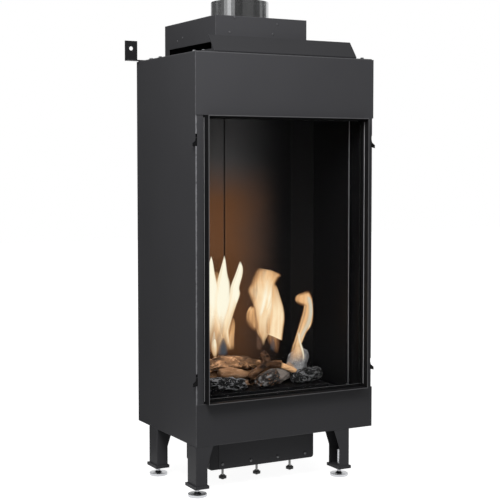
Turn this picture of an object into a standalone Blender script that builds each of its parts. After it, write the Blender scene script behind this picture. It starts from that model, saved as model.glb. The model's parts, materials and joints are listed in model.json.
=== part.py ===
"""Built-in gas fireplace with a tall window, a log set and a balanced flue on top.

The front faces -Y and +Z is up. The origin is on the floor, under the centre of the
object's bounding box. All lengths are in metres.
"""

import math

import bmesh
import bpy
from mathutils import Matrix, Vector

# Fits and sheet
FIT_GAP = 0.0003
SHEET = 0.0015
OVERRUN = 0.002
EDGE_RADIUS = 0.0005
FOLD_RADIUS = 0.003
RUNNING_GAP = 0.0008
FOLD_STEPS = 3

# Counts of sides on round pieces, and the angles that edges are judged by
FLUE_SIDES = 48
PIPE_SIDES = 20
KNOB_SIDES = 24
PIN_SIDES = 16
STUD_SIDES = 12
SMOOTH_DEGREES = 35
BEVEL_DEGREES = 40

# Casing
CASE_WIDTH = 0.514
CASE_DEPTH = 0.357
CASE_HEIGHT = 0.959
SIDE_INSET = 0.0012
STILE_WIDTH = 0.0195
SILL_HEIGHT = 0.105
HEADER_HEIGHT = 0.1515
TOP_PLATE_INSET = 0.003
AIR_OPENING = 0.19

# Window frame, glass and seal
WINDOW_PROUD = 0.019
WINDOW_WALL = 0.0015
WINDOW_SIDE_GAP = 0.005
WINDOW_END_GAP = 0.0006
WINDOW_REACH = 0.0038
FLANGE_OUT = 0.004
FLANGE_IN = 0.004
GLASS_THICKNESS = 0.004
GLASS_INSET = 0.002
SEAL_RADIUS = 0.003
SEAL_SIDES = 8
WINDOW_TILT_SETBACK = 0.0025

# Trim hooks at the casing's front corners
HOOK_FROM_END = 0.045
HOOK_SLOT_HEIGHT = 0.030
HOOK_SLOT_WIDTH = 0.0042
HOOK_THICKNESS = 0.002
HOOK_ARM = 0.030
HOOK_REACH = 0.009
HOOK_DROP = 0.002
HOOK_BLADE = 0.013
HOOK_TIP = 0.008
HOOK_ROOT = 0.008

# Legs and feet
LEG_WIDTH = 0.030
LEG_DEPTH = 0.052
LEG_HEIGHT = 0.097
LEG_SHEET = 0.002
LEG_GUSSET = 0.016
LEG_GUSSET_HEIGHT = 0.048
LEG_RIGHT_INSET = 0.070
LEG_REAR_INSET = 0.072
FOOT_PLATE_THICKNESS = 0.007
FOOT_PLATE_OVERHANG = 0.004
FOOT_REACH = 0.023
FOOT_DISC_RADIUS = 0.0235
FOOT_DISC_HEIGHT = 0.007
FOOT_CONE_HEIGHT = 0.005
FOOT_CONE_RADIUS = 0.011
FOOT_STEM_RADIUS = 0.005
FOOT_STEM_HEIGHT = 0.057

# Hood, deflector and flue
HOOD_WIDTH = 0.261
HOOD_HEIGHT = 0.095
HOOD_FRONT_SETBACK = 0.054
HOOD_BACK_SETBACK = 0.005
HOOD_SLOT_RISE = 0.014
HOOD_SLOT_HEIGHT = 0.017
HOOD_SLOT_FRONT = 0.022
HOOD_SLOT_BACK = 0.026
FLUE_X = -0.045
FLUE_BACK = 0.006
DEFLECTOR_WIDTH = 0.411
DEFLECTOR_RISE = 0.043
DEFLECTOR_LEAN = 0.033
DEFLECTOR_FOOT = 0.022
DEFLECTOR_SETBACK = 0.001
FLUE_OUTER_RADIUS = 0.075
FLUE_OUTER_RISE = 0.050
FLUE_BEAD = 0.006
FLUE_WALL = 0.0015
FLUE_INNER_RADIUS = 0.050
FLUE_INNER_PROUD = 0.008
FLUE_FLANGE = 0.012
BRACKET_WIDTH = 0.035
BRACKET_HEIGHT = 0.053
BRACKET_THICKNESS = 0.002
BRACKET_FOOT_DEPTH = 0.022
BRACKET_FOOT_INBOARD = 0.040
BRACKET_GAP = 0.002
BRACKET_HOLE_RADIUS = 0.0055
BRACKET_HOLE_FROM_TOP = 0.020

# Firebox shell and liners
FIREBOX_SIDE_GAP = 0.028
FIREBOX_BACK_GAP = 0.066
FIREBOX_FLOOR = 0.094
FIREBOX_TOP_GAP = 0.054
FIREBOX_SHEET = 0.002
FIREBOX_FLANGE = 0.022
LINER_GAP = 0.010
LINER_SHEET = 0.002
LINER_FRONT_SETBACK = 0.030
LINER_CORNER_DEPTH = 0.053
LINER_CORNER_WIDTH = 0.042
LINER_HEM = 0.005
LINER_TOP_GAP = 0.012
LINER_JOINT_X = -0.0365
LINER_JOINT = 0.004

# Floor grille, burner and pilot
GRILLE_DEPTH = 0.040
GRILLE_HEIGHT = 0.010
GRILLE_SLOT_SETBACK = 0.006
GRILLE_SLOT_LENGTH = 0.137
GRILLE_SLOT_WIDTH = 0.004
GRILLE_SLOT_BRIDGE = 0.050
BURNER_SIDE_GAP = 0.036
BURNER_FRONT_GAP = 0.030
BURNER_BACK_GAP = 0.010
BURNER_HEIGHT = 0.011
BURNER_SHEET = 0.0012
PORT_COUNT = 19
PORT_ROW_SETBACK = 0.021
PORT_WIDTH = 0.009
PORT_DEPTH = 0.003
PILOT_X = 0.060
PILOT_FROM_BACK = 0.020
PILOT_WIDTH = 0.044
PILOT_DEPTH = 0.014
PILOT_HEIGHT = 0.012
PILOT_HEAD_RADIUS = 0.004
PILOT_HEAD_HEIGHT = 0.016
PROBE_RADIUS = 0.0015
PROBE_HEIGHT = 0.038
PROBE_SPACING = 0.014
PROBE_COLLAR_RADIUS = 0.003
PROBE_COLLAR_HEIGHT = 0.010
CATCH_X = 0.202
CATCH_WIDTH = 0.010
CATCH_DEPTH = 0.012
CATCH_HEIGHT = 0.006

# Logs, placed over the burner
LOG_PILE_HEIGHT = 0.100
LOG_RADIUS = 0.020
LOG_GAP_SHARE = 0.045
LOG_RINGS = 12
LOG_SIDES = 12
BRANCH_RINGS = 8
BRANCH_SIDES = 10
LOG_RIDGES = 3
LOG_SWELLS = 2.5
LOG_FINE_RIDGES = 5
LOG_TWIST = 9
LOG_STAGGER = 2
LOG_END_SHARPNESS = 8
LOG_BUMP_SHARE = 0.07
LOG_FINE_SHARE = 0.04
LOG_END_TAPER_SHARE = 0.22
LOG_LOOK_SHARE = 0.02
LOG_STEEP_SHARE = 0.2

# Relief flap and flue restrictor in the firebox's roof
RELIEF_X = 0.130
RELIEF_OPENING = 0.070
RELIEF_LAP = 0.010
RELIEF_PIN_RADIUS = 0.0025
RELIEF_LUG = 0.012
RELIEF_LUG_THICKNESS = 0.003
RESTRICTOR_LENGTH = 0.075
RESTRICTOR_WIDTH = 0.090
RESTRICTOR_CLEAR = 0.006
RESTRICTOR_TRAVEL = 0.035
RESTRICTOR_GUIDE = 0.006
RESTRICTOR_TAB = 0.012

# Control box, gas valve and pipes
BOX_WIDTH = 0.303
BOX_CENTRE_X = -0.0455
BOX_FRONT_SETBACK = 0.048
BOX_DEPTH = 0.132
BOX_HEIGHT = 0.075
BOX_SHEET = 0.0012
BOX_CORNER_RADIUS = 0.007
BOX_CORNER_STEPS = 4
BOX_STRIP_WIDTH = 0.027
BOX_LIP = 0.010
STUD_COUNT = 3
STUD_SPACING = 0.098
STUD_CENTRE_X = -0.056
STUD_SETBACK = 0.013
STUD_RADIUS = 0.003
STUD_DROP = 0.029
STUD_HEAD_RADIUS = 0.005
STUD_HEAD_HEIGHT = 0.003
NUT_RADIUS = 0.010
NUT_HEIGHT = 0.006
NUT_HUB_RADIUS = 0.006
NUT_HUB_HEIGHT = 0.003
NUT_FLUTES = 12
NUT_FLUTE_SIDES = 8
NUT_FLUTE_RADIUS = 0.0016
NUT_END = 0.003
VALVE_X = -0.080
VALVE_WIDTH = 0.096
VALVE_DEPTH = 0.056
VALVE_HEIGHT = 0.046
VALVE_SETBACK = 0.034
KNOB_RADIUS = 0.014
KNOB_LENGTH = 0.014
KNOB_SPACING = 0.044
KNOB_BAR = 0.005
KNOB_BAR_HEIGHT = 0.005
PIPE_RADIUS = 0.006
PIPE_WALL = 0.001
PIPE_HOLE_GAP = 0.001
UNION_RADIUS = 0.011
UNION_LENGTH = 0.016
INLET_REACH = 0.034
SUPPLY_BACK = 0.010

# Planes worked out from the sizes above
BODY_Z = LEG_HEIGHT + FOOT_PLATE_THICKNESS + FOOT_REACH
TOP_Z = BODY_Z + CASE_HEIGHT
FRONT_Y = (WINDOW_PROUD - CASE_DEPTH) / 2
BACK_Y = FRONT_Y + CASE_DEPTH
SIDE_X = CASE_WIDTH / 2 - SIDE_INSET
INNER_X = SIDE_X - SHEET - FIT_GAP
STILE_Y = FRONT_Y + SHEET + FIT_GAP
STILE_BACK_Y = STILE_Y + SHEET
SILL_Z = BODY_Z + SILL_HEIGHT
HEADER_Z = TOP_Z - HEADER_HEIGHT
PLATE_Z = TOP_Z + FIT_GAP + SHEET
WINDOW_X = SIDE_X - STILE_WIDTH - WINDOW_SIDE_GAP
WINDOW_LOW = SILL_Z + WINDOW_END_GAP
WINDOW_HIGH = HEADER_Z - WINDOW_END_GAP
FLANGE_Y = STILE_Y + WINDOW_REACH
GLASS_Y = FLANGE_Y + WINDOW_WALL + FIT_GAP
SEAL_Y = GLASS_Y + GLASS_THICKNESS + FIT_GAP + SEAL_RADIUS
SHELL_FRONT_Y = SEAL_Y + SEAL_RADIUS + FIT_GAP
SHELL_X = SIDE_X - FIREBOX_SIDE_GAP
SHELL_BACK_Y = BACK_Y - FIREBOX_BACK_GAP
SHELL_FLOOR_Z = BODY_Z + FIREBOX_FLOOR
SHELL_TOP_Z = TOP_Z - FIREBOX_TOP_GAP
LINER_X = SHELL_X - FIREBOX_SHEET - LINER_GAP
LINER_BACK_Y = SHELL_BACK_Y - FIREBOX_SHEET - LINER_GAP
LINER_FRONT_Y = SHELL_FRONT_Y + LINER_FRONT_SETBACK
GRILLE_Y = SHELL_FRONT_Y + FIREBOX_SHEET + FIT_GAP
BURNER_X = LINER_X - BURNER_SIDE_GAP
BURNER_FRONT_Y = GRILLE_Y + GRILLE_DEPTH + BURNER_FRONT_GAP
BURNER_BACK_Y = LINER_BACK_Y - LINER_SHEET - BURNER_BACK_GAP
BURNER_Z = SHELL_FLOOR_Z + FIT_GAP + BURNER_HEIGHT
FLUE_Y = (FRONT_Y + BACK_Y) / 2 - FLUE_BACK
HOOD_Z = PLATE_Z + FIT_GAP
HOOD_TOP_Z = HOOD_Z + HOOD_HEIGHT
BOX_FRONT_Y = FRONT_Y + BOX_FRONT_SETBACK
BOX_BACK_Y = BOX_FRONT_Y + BOX_DEPTH
BOX_TOP_Z = BODY_Z - FIT_GAP
BOX_LOW_Z = BOX_TOP_Z - BOX_HEIGHT
VALVE_Y = BOX_FRONT_Y + VALVE_SETBACK
VALVE_Z = BOX_LOW_Z + BOX_SHEET + FIT_GAP

# Places of the logs. A log has three points and the radius at each. A point is a share of
# the burner's half width, a share of its depth behind its front edge, and a share of the
# pile's height above it. A radius is a share of LOG_RADIUS.
LOG_SHARES = {
    "log_front_charred": (
        ((-1.03, 0.32, 0.16), (-0.67, 0.24, 0.17), (-0.28, 0.16, 0.14)),
        (0.82, 0.92, 0.70),
    ),
    "log_rear": (
        ((-0.76, 0.62, 0.19), (-0.12, 0.63, 0.18), (0.53, 0.60, 0.42)),
        (0.95, 1.00, 0.85),
    ),
    "log_split": (
        ((-0.12, 0.14, 0.17), (0.18, 0.23, 0.23), (0.55, 0.38, 0.26)),
        (0.90, 1.15, 0.80),
    ),
    "log_right_charred": (
        ((0.50, 0.23, 0.14), (0.74, 0.24, 0.19), (1.04, 0.33, 0.20)),
        (0.75, 1.03, 0.80),
    ),
    "log_chunk": (
        ((0.68, 0.53, 0.02), (0.77, 0.54, 0.45), (0.88, 0.56, 0.80)),
        (1.35, 1.45, 1.00),
    ),
    "log_smooth": (
        ((-0.62, 0.43, 0.39), (-0.42, 0.44, 0.35), (-0.08, 0.45, 0.27)),
        (0.65, 0.86, 0.42),
    ),
    "log_bark": (
        ((-0.84, 0.60, 0.53), (-0.33, 0.60, 0.60), (0.17, 0.58, 0.48)),
        (0.78, 1.04, 0.68),
    ),
}
# The three limbs of the forked branch.
BRANCH_SHARES = {
    "_stem": (
        ((-0.20, 0.28, 0.25), (0.00, 0.31, 0.45), (0.17, 0.33, 0.60)),
        (0.48, 0.56, 0.58),
    ),
    "_fork": (
        ((0.14, 0.32, 0.52), (0.13, 0.36, 0.70), (0.10, 0.41, 0.86)),
        (0.50, 0.60, 0.54),
    ),
    "_arm": (
        ((0.11, 0.33, 0.57), (0.30, 0.26, 0.52), (0.56, 0.22, 0.33)),
        (0.50, 0.46, 0.42),
    ),
}

# Colours: red, green, blue, then metallic and roughness
DARK_STEEL = (0.055, 0.055, 0.060, 0.0, 0.55)
LINER_BLACK = (0.020, 0.020, 0.022, 0.0, 0.35)
BRIGHT_STEEL = (0.62, 0.62, 0.62, 1.0, 0.28)
PLATED_STEEL = (0.70, 0.70, 0.72, 1.0, 0.35)
KNURLED_BLACK = (0.02, 0.02, 0.02, 0.2, 0.45)
CLEAR_GLASS = (0.9, 0.9, 0.9, 0.0, 0.02)
ROPE_GREY = (0.10, 0.10, 0.10, 0.0, 0.9)
CHARRED = (0.09, 0.085, 0.08, 0.0, 0.9)
BARK_BROWN = (0.24, 0.15, 0.09, 0.0, 0.9)
VALVE_ALLOY = (0.55, 0.55, 0.56, 1.0, 0.45)
BRASS = (0.68, 0.50, 0.22, 1.0, 0.35)
KNOB_BLACK = (0.03, 0.03, 0.03, 0.0, 0.5)


def clear_scene():
    """Take everything out of the scene."""
    for item in list(bpy.data.objects):
        bpy.data.objects.remove(item, do_unlink=True)


def finish(name, colour):
    """Make a plain material from a colour row."""
    material = bpy.data.materials.get(name)
    if material:
        return material
    material = bpy.data.materials.new(name)
    material.use_nodes = True
    shader = material.node_tree.nodes["Principled BSDF"]
    shader.inputs["Base Color"].default_value = (colour[0], colour[1], colour[2], 1.0)
    shader.inputs["Metallic"].default_value = colour[3]
    shader.inputs["Roughness"].default_value = colour[4]
    return material


def add_object(name, bm, origin, colour=None, smooth=False):
    """Turn a bmesh built in world places into an object whose origin is at a point."""
    bmesh.ops.recalc_face_normals(bm, faces=bm.faces[:])
    bmesh.ops.translate(bm, verts=bm.verts[:], vec=-Vector(origin))
    mesh = bpy.data.meshes.new(name)
    bm.to_mesh(mesh)
    bm.free()
    item = bpy.data.objects.new(name, mesh)
    item.location = origin
    bpy.context.scene.collection.objects.link(item)
    if colour:
        mesh.materials.append(finish(name + "_finish", colour))
    if smooth:
        mesh.shade_smooth()
        mesh.set_sharp_from_angle(angle=math.radians(SMOOTH_DEGREES))
    return item


def box_mesh(low, high):
    """A closed box between two corners."""
    bm = bmesh.new()
    centre = (Vector(low) + Vector(high)) / 2
    size = Vector(high) - Vector(low)
    place = Matrix.Translation(centre) @ Matrix.Diagonal((*size, 1.0))
    bmesh.ops.create_cube(bm, size=1.0, matrix=place)
    return bm


def middle(low, high):
    """The point halfway between two corners."""
    return tuple((a + b) / 2 for a, b in zip(low, high))


def box(name, low, high, colour, origin=None):
    """A box as an object."""
    return add_object(name, box_mesh(low, high), origin or middle(low, high), colour)


def prism_mesh(outline, axis, start, end):
    """Extrude a closed outline along an axis. The outline lies in the two other axes."""
    bm = bmesh.new()
    rows = []
    for level in (start, end):
        row = []
        for a, b in outline:
            point = [a, b]
            point.insert(axis, level)
            row.append(bm.verts.new(point))
        rows.append(row)
    count = len(outline)
    bm.faces.new(rows[0])
    bm.faces.new(reversed(rows[1]))
    for i in range(count):
        j = (i + 1) % count
        bm.faces.new((rows[0][i], rows[1][i], rows[1][j], rows[0][j]))
    return bm


def rounded_path(points, radius, steps=FOLD_STEPS):
    """Round the inner corners of an open path with arcs."""
    path = [Vector(points[0])]
    for before, corner, after in zip(points, points[1:], points[2:]):
        corner = Vector(corner)
        arm_in = (Vector(before) - corner).normalized()
        arm_out = (Vector(after) - corner).normalized()
        half = arm_in.angle(arm_out) / 2
        reach = radius / math.tan(half)
        centre = corner + (arm_in + arm_out).normalized() * radius / math.sin(half)
        first = corner + arm_in * reach - centre
        last = corner + arm_out * reach - centre
        turn = first.angle_signed(last)
        for step in range(steps + 1):
            spoke = first.copy()
            spoke.rotate(Matrix.Rotation(-turn * step / steps, 2))
            path.append(centre + spoke)
    path.append(Vector(points[-1]))
    return path


def strip_outline(path, thickness):
    """The closed outline of a folded sheet that lies on the left of a path."""
    left = []
    last = len(path) - 1
    for i, point in enumerate(path):
        before = path[max(i - 1, 0)]
        after = path[min(i + 1, last)]
        along_in = (point - before).normalized() if i > 0 else (after - point).normalized()
        along_out = (after - point).normalized() if i < last else along_in
        side = Vector((-along_in.y, along_in.x)) + Vector((-along_out.y, along_out.x))
        side.normalize()
        lean = side.dot(Vector((-along_in.y, along_in.x)))
        left.append(point + side * thickness / lean)
    return [tuple(p) for p in path] + [tuple(p) for p in reversed(left)]


def folded_sheet(name, points, thickness, axis, start, end, colour, radius=FOLD_RADIUS, origin=None):
    """A folded sheet: the outline along a rounded path, extruded along an axis."""
    outline = strip_outline(rounded_path(points, radius), thickness)
    bm = prism_mesh(outline, axis, start, end)
    return add_object(name, bm, origin or mesh_centre(bm), colour)


def mesh_centre(bm):
    """The middle of a mesh's box."""
    low = Vector([min(v.co[i] for v in bm.verts) for i in range(3)])
    high = Vector([max(v.co[i] for v in bm.verts) for i in range(3)])
    return tuple((low + high) / 2)


def turned_mesh(profile, segments, axis=2):
    """Turn a profile of radius and height round an axis through the origin.

    A profile that starts and ends on the axis gives a solid body. Any other profile is
    closed into a ring.
    """
    bm = bmesh.new()
    solid = profile[0][0] == 0
    rows = []
    for radius, height in profile:
        if radius == 0:
            rows.append([bm.verts.new((0, 0, height))])
            continue
        ring = []
        for i in range(segments):
            angle = math.tau * i / segments
            ring.append(bm.verts.new((radius * math.cos(angle), radius * math.sin(angle), height)))
        rows.append(ring)
    pairs = list(zip(rows, rows[1:]))
    if not solid:
        pairs.append((rows[-1], rows[0]))
    for lower, upper in pairs:
        for i in range(segments):
            j = (i + 1) % segments
            below = (lower[i % len(lower)], lower[j % len(lower)])
            above = (upper[j % len(upper)], upper[i % len(upper)])
            bm.faces.new(list(dict.fromkeys(below + above)))
    if axis == 1:
        bmesh.ops.rotate(bm, verts=bm.verts[:], matrix=Matrix.Rotation(-math.pi / 2, 3, "X"))
    if axis == 0:
        bmesh.ops.rotate(bm, verts=bm.verts[:], matrix=Matrix.Rotation(math.pi / 2, 3, "Y"))
    return bm


def turned(name, profile, place, colour, segments, axis=2):
    """A turned piece whose origin is on its axis."""
    bm = turned_mesh(profile, segments, axis)
    bmesh.ops.translate(bm, verts=bm.verts[:], vec=Vector(place))
    return add_object(name, bm, place, colour, smooth=True)


def ring_mesh(outline, half_width, low, high):
    """Sweep an outline of outward offset and depth round a rectangle, with mitred corners."""
    bm = bmesh.new()
    corners = ((-1, -1), (1, -1), (1, 1), (-1, 1))
    rows = []
    for across, up in corners:
        row = []
        for offset, depth in outline:
            level = high + offset if up > 0 else low - offset
            row.append(bm.verts.new((across * (half_width + offset), depth, level)))
        rows.append(row)
    count = len(outline)
    for k in range(4):
        row = rows[k]
        following = rows[(k + 1) % 4]
        for i in range(count):
            j = (i + 1) % count
            bm.faces.new((row[i], following[i], following[j], row[j]))
    return bm


def cutter(name, bm, origin=(0, 0, 0)):
    """A hidden shape that a Boolean uses."""
    item = add_object(name, bm, origin)
    item.hide_render = True
    item.display_type = "WIRE"
    return item


def combine(item, other, operation):
    """Join a hidden shape to a piece, or cut it out of the piece."""
    modifier = item.modifiers.new(other.name, "BOOLEAN")
    modifier.operation = operation
    modifier.solver = "EXACT"
    modifier.object = other
    return item


def cut_box(item, label, low, high):
    """Cut a box out of a piece."""
    return combine(item, cutter(item.name + label, box_mesh(low, high)), "DIFFERENCE")


def join_box(item, label, low, high):
    """Join a box to a piece."""
    return combine(item, cutter(item.name + label, box_mesh(low, high)), "UNION")


def cut_bore(item, label, radius, place, half_length, axis=2, segments=PIPE_SIDES):
    """Cut a round hole through a piece."""
    profile = ((0, -half_length), (radius, -half_length), (radius, half_length), (0, half_length))
    bm = turned_mesh(profile, segments, axis)
    bmesh.ops.translate(bm, verts=bm.verts[:], vec=Vector(place))
    return combine(item, cutter(item.name + label, bm), "DIFFERENCE")


def bevel_edges(item, width=EDGE_RADIUS, segments=1):
    """Break a piece's sharp edges."""
    modifier = item.modifiers.new("edges", "BEVEL")
    modifier.width = width
    modifier.segments = segments
    modifier.limit_method = "ANGLE"
    modifier.angle_limit = math.radians(BEVEL_DEGREES)
    return item


def hook_levels():
    """The middle heights of the lower and upper trim hooks' slots."""
    reach = HOOK_FROM_END + HOOK_SLOT_HEIGHT / 2
    return {"lower": SILL_Z + reach, "upper": HEADER_Z - reach}


def make_side_panel(side):
    """A side of the casing, folded round at the front into the stile beside the window."""
    name = "side_panel_right" if side > 0 else "side_panel_left"
    points = [(side * (SIDE_X - STILE_WIDTH), STILE_Y), (side * SIDE_X, STILE_Y), (side * SIDE_X, BACK_Y)]
    if side < 0:
        points.reverse()
    panel = folded_sheet(name, points, SHEET, 2, BODY_Z, TOP_Z, DARK_STEEL)
    across = sorted((side * (SIDE_X - HOOK_SLOT_WIDTH), side * (SIDE_X + OVERRUN)))
    for label, level in hook_levels().items():
        cut_box(panel, "_slot_" + label, (across[0], STILE_Y - OVERRUN, level - HOOK_SLOT_HEIGHT / 2),
                (across[1], STILE_Y + HOOK_SLOT_WIDTH, level + HOOK_SLOT_HEIGHT / 2))
    return panel


def make_trim_hook(side, label, level):
    """A hook that slopes down out of a corner slot, on an arm inside the side panel."""
    name = "trim_hook_" + label + ("_right" if side > 0 else "_left")
    inner = SIDE_X - SHEET - FIT_GAP
    tip = SIDE_X + HOOK_REACH
    slot_low = level - HOOK_SLOT_HEIGHT / 2
    front = STILE_BACK_Y + FIT_GAP
    back = front + HOOK_THICKNESS
    top = level + HOOK_BLADE / 2
    outline = [
        (inner - HOOK_ROOT, slot_low + HOOK_TIP), (inner, slot_low + FIT_GAP), (SIDE_X, slot_low + FIT_GAP),
        (tip, slot_low - HOOK_DROP), (tip, slot_low - HOOK_DROP + HOOK_TIP), (SIDE_X, slot_low + HOOK_BLADE),
        (inner, top), (inner - HOOK_ROOT, top),
    ]
    outline = [(side * across, up) for across, up in outline]
    hook = add_object(name, prism_mesh(outline, 1, front, back), (side * inner, back, level), DARK_STEEL)
    across = sorted((side * (inner - HOOK_THICKNESS), side * inner))
    join_box(hook, "_arm", (across[0], back - HOOK_THICKNESS / 2, slot_low + HOOK_TIP),
             (across[1], back + HOOK_ARM, top))
    return hook


def make_casing():
    """The casing's flat panels."""
    half = CASE_WIDTH / 2
    lower = box("front_panel_lower", (-half, FRONT_Y, BODY_Z), (half, FRONT_Y + SHEET, SILL_Z), DARK_STEEL)
    bevel_edges(lower)
    upper = box("front_panel_upper", (-half, FRONT_Y, HEADER_Z), (half, FRONT_Y + SHEET, TOP_Z), DARK_STEEL)
    bevel_edges(upper)
    back = box("back_panel", (-INNER_X, BACK_Y - SHEET, BODY_Z), (INNER_X, BACK_Y, TOP_Z), DARK_STEEL)
    bevel_edges(back)
    plate_half = SIDE_X - TOP_PLATE_INSET
    top = box("top_plate", (-plate_half, FRONT_Y + TOP_PLATE_INSET, TOP_Z + FIT_GAP),
              (plate_half, BACK_Y - TOP_PLATE_INSET, PLATE_Z), DARK_STEEL)
    reach = AIR_OPENING / 2
    cut_box(top, "_air_opening", (FLUE_X - reach, FLUE_Y - reach, TOP_Z - OVERRUN),
            (FLUE_X + reach, FLUE_Y + reach, PLATE_Z + OVERRUN))
    bottom = box("bottom_plate", (-INNER_X, STILE_Y + FOLD_RADIUS + FIT_GAP, BODY_Z),
                 (INNER_X, BACK_Y - SHEET - FIT_GAP, BODY_Z + SHEET), DARK_STEEL)
    cut_bore(bottom, "_pipe_hole", PIPE_RADIUS + PIPE_HOLE_GAP, supply_place(BODY_Z), SHEET + OVERRUN)


def make_hood():
    """The hood over the air opening, with an air slot low in each side."""
    left = FLUE_X - HOOD_WIDTH / 2
    right = FLUE_X + HOOD_WIDTH / 2
    front = FRONT_Y + HOOD_FRONT_SETBACK
    back = BACK_Y - HOOD_BACK_SETBACK
    hood = box("hood", (left, front, HOOD_Z), (right, back, HOOD_TOP_Z), DARK_STEEL)
    cut_box(hood, "_inside", (left + SHEET, front + SHEET, HOOD_Z - OVERRUN),
            (right - SHEET, back - SHEET, HOOD_TOP_Z - SHEET))
    slot_low = HOOD_Z + HOOD_SLOT_RISE
    cut_box(hood, "_slots", (left - OVERRUN, front + HOOD_SLOT_FRONT, slot_low),
            (right + OVERRUN, back - HOOD_SLOT_BACK, slot_low + HOOD_SLOT_HEIGHT))
    cut_bore(hood, "_flue_hole", FLUE_OUTER_RADIUS + FIT_GAP, (FLUE_X, FLUE_Y, HOOD_TOP_Z), SHEET + OVERRUN,
             segments=FLUE_SIDES)
    return hood


def make_front_deflector():
    """The sloping sheet that stands on the top plate behind the casing's front edge."""
    base_y = FRONT_Y + DEFLECTOR_SETBACK
    base_z = PLATE_Z + FIT_GAP
    points = [(base_y + DEFLECTOR_FOOT, base_z), (base_y, base_z),
              (base_y + DEFLECTOR_LEAN, base_z + DEFLECTOR_RISE)]
    points.reverse()
    return folded_sheet("front_deflector", points, SHEET, 0, -DEFLECTOR_WIDTH / 2, DEFLECTOR_WIDTH / 2,
                        DARK_STEEL, radius=SHEET + EDGE_RADIUS)


def make_flue():
    """The outer collar on the hood and the inner pipe from the firebox's roof."""
    low = HOOD_TOP_Z - SHEET - FIT_GAP - FLUE_WALL
    rim = HOOD_TOP_Z + FLUE_OUTER_RISE
    inside = FLUE_OUTER_RADIUS - FLUE_WALL
    bead = FLUE_OUTER_RADIUS + FLUE_BEAD
    outer = [(inside, low), (bead, low), (bead, low + FLUE_WALL), (FLUE_OUTER_RADIUS, low + FLUE_WALL),
             (FLUE_OUTER_RADIUS, rim), (inside, rim)]
    turned("flue_collar_outer", outer, (FLUE_X, FLUE_Y, 0), BRIGHT_STEEL, FLUE_SIDES)
    foot = SHELL_TOP_Z + FIT_GAP
    top = rim + FLUE_INNER_PROUD
    bore = FLUE_INNER_RADIUS - FLUE_WALL
    inner = [(bore, foot), (FLUE_INNER_RADIUS + FLUE_FLANGE, foot),
             (FLUE_INNER_RADIUS + FLUE_FLANGE, foot + FLUE_WALL), (FLUE_INNER_RADIUS, foot + FLUE_WALL),
             (FLUE_INNER_RADIUS, top), (bore, top)]
    turned("flue_pipe_inner", inner, (FLUE_X, FLUE_Y, 0), BRIGHT_STEEL, FLUE_SIDES)


def make_wall_bracket(side):
    """A bracket that ties the casing's rear corner to the wall."""
    name = "wall_bracket_right" if side > 0 else "wall_bracket_left"
    inner = CASE_WIDTH / 2 - SIDE_INSET + BRACKET_GAP - TOP_PLATE_INSET
    outer = inner + BRACKET_WIDTH
    foot_z = PLATE_Z + FIT_GAP
    across = sorted((side * inner, side * outer))
    low = (across[0], BACK_Y - BRACKET_THICKNESS, foot_z)
    high = (across[1], BACK_Y, foot_z + BRACKET_HEIGHT)
    bracket = box(name, low, high, DARK_STEEL)
    foot = sorted((side * (inner - BRACKET_FOOT_INBOARD), side * outer))
    join_box(bracket, "_foot", (foot[0], BACK_Y - BRACKET_FOOT_DEPTH, foot_z),
             (foot[1], BACK_Y - BRACKET_THICKNESS / 2, foot_z + BRACKET_THICKNESS))
    hole = (side * (inner + outer) / 2, BACK_Y, high[2] - BRACKET_HOLE_FROM_TOP)
    cut_bore(bracket, "_hole", BRACKET_HOLE_RADIUS, hole, BRACKET_THICKNESS + OVERRUN, axis=1)
    return bracket


def leg_places():
    """The outer front corner of each leg, and the side that its web is on."""
    left = -CASE_WIDTH / 2
    right = CASE_WIDTH / 2 - LEG_RIGHT_INSET
    rear = BACK_Y - LEG_REAR_INSET - LEG_DEPTH
    return {
        "front_left": (left, FRONT_Y, -1), "front_right": (right, FRONT_Y, 1),
        "rear_left": (left, rear, -1), "rear_right": (right, rear, 1),
    }


def make_leg(label, web_x, front_y, side):
    """A folded channel with gusseted flanges, on a foot plate with a hole for the foot."""
    name = "leg_" + label
    inward = -side
    reach = LEG_WIDTH + LEG_GUSSET
    top = BODY_Z - FIT_GAP
    low = top - LEG_HEIGHT
    rear_y = front_y + LEG_DEPTH
    tip_x = web_x + inward * reach
    points = [(tip_x, front_y), (web_x, front_y), (web_x, rear_y), (tip_x, rear_y)]
    if side < 0:
        points.reverse()
    centre = (web_x + inward * LEG_WIDTH / 2, (front_y + rear_y) / 2, top)
    leg = folded_sheet(name, points, LEG_SHEET, 2, low, top, DARK_STEEL, radius=FOLD_RADIUS, origin=centre)
    narrow = web_x + inward * LEG_WIDTH
    beyond = web_x + inward * (reach + OVERRUN)
    outline = [(tip_x, top + OVERRUN), (tip_x, top), (narrow, top - LEG_GUSSET_HEIGHT),
               (narrow, low - OVERRUN), (beyond, low - OVERRUN), (beyond, top + OVERRUN)]
    combine(leg, cutter(name + "_gusset", prism_mesh(outline, 1, front_y - OVERRUN, rear_y + OVERRUN)),
            "DIFFERENCE")
    plate = sorted((web_x - inward * FOOT_PLATE_OVERHANG, narrow + inward * FOOT_PLATE_OVERHANG))
    base = cutter(name + "_plate", box_mesh(
        (plate[0], front_y - FOOT_PLATE_OVERHANG / 2, low - FOOT_PLATE_THICKNESS),
        (plate[1], rear_y + FOOT_PLATE_OVERHANG, low + EDGE_RADIUS)))
    combine(leg, base, "UNION")
    cut_bore(leg, "_foot_hole", FOOT_STEM_RADIUS + FIT_GAP, (centre[0], centre[1], low),
             FOOT_PLATE_THICKNESS + OVERRUN, segments=KNOB_SIDES)
    return centre


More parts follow.
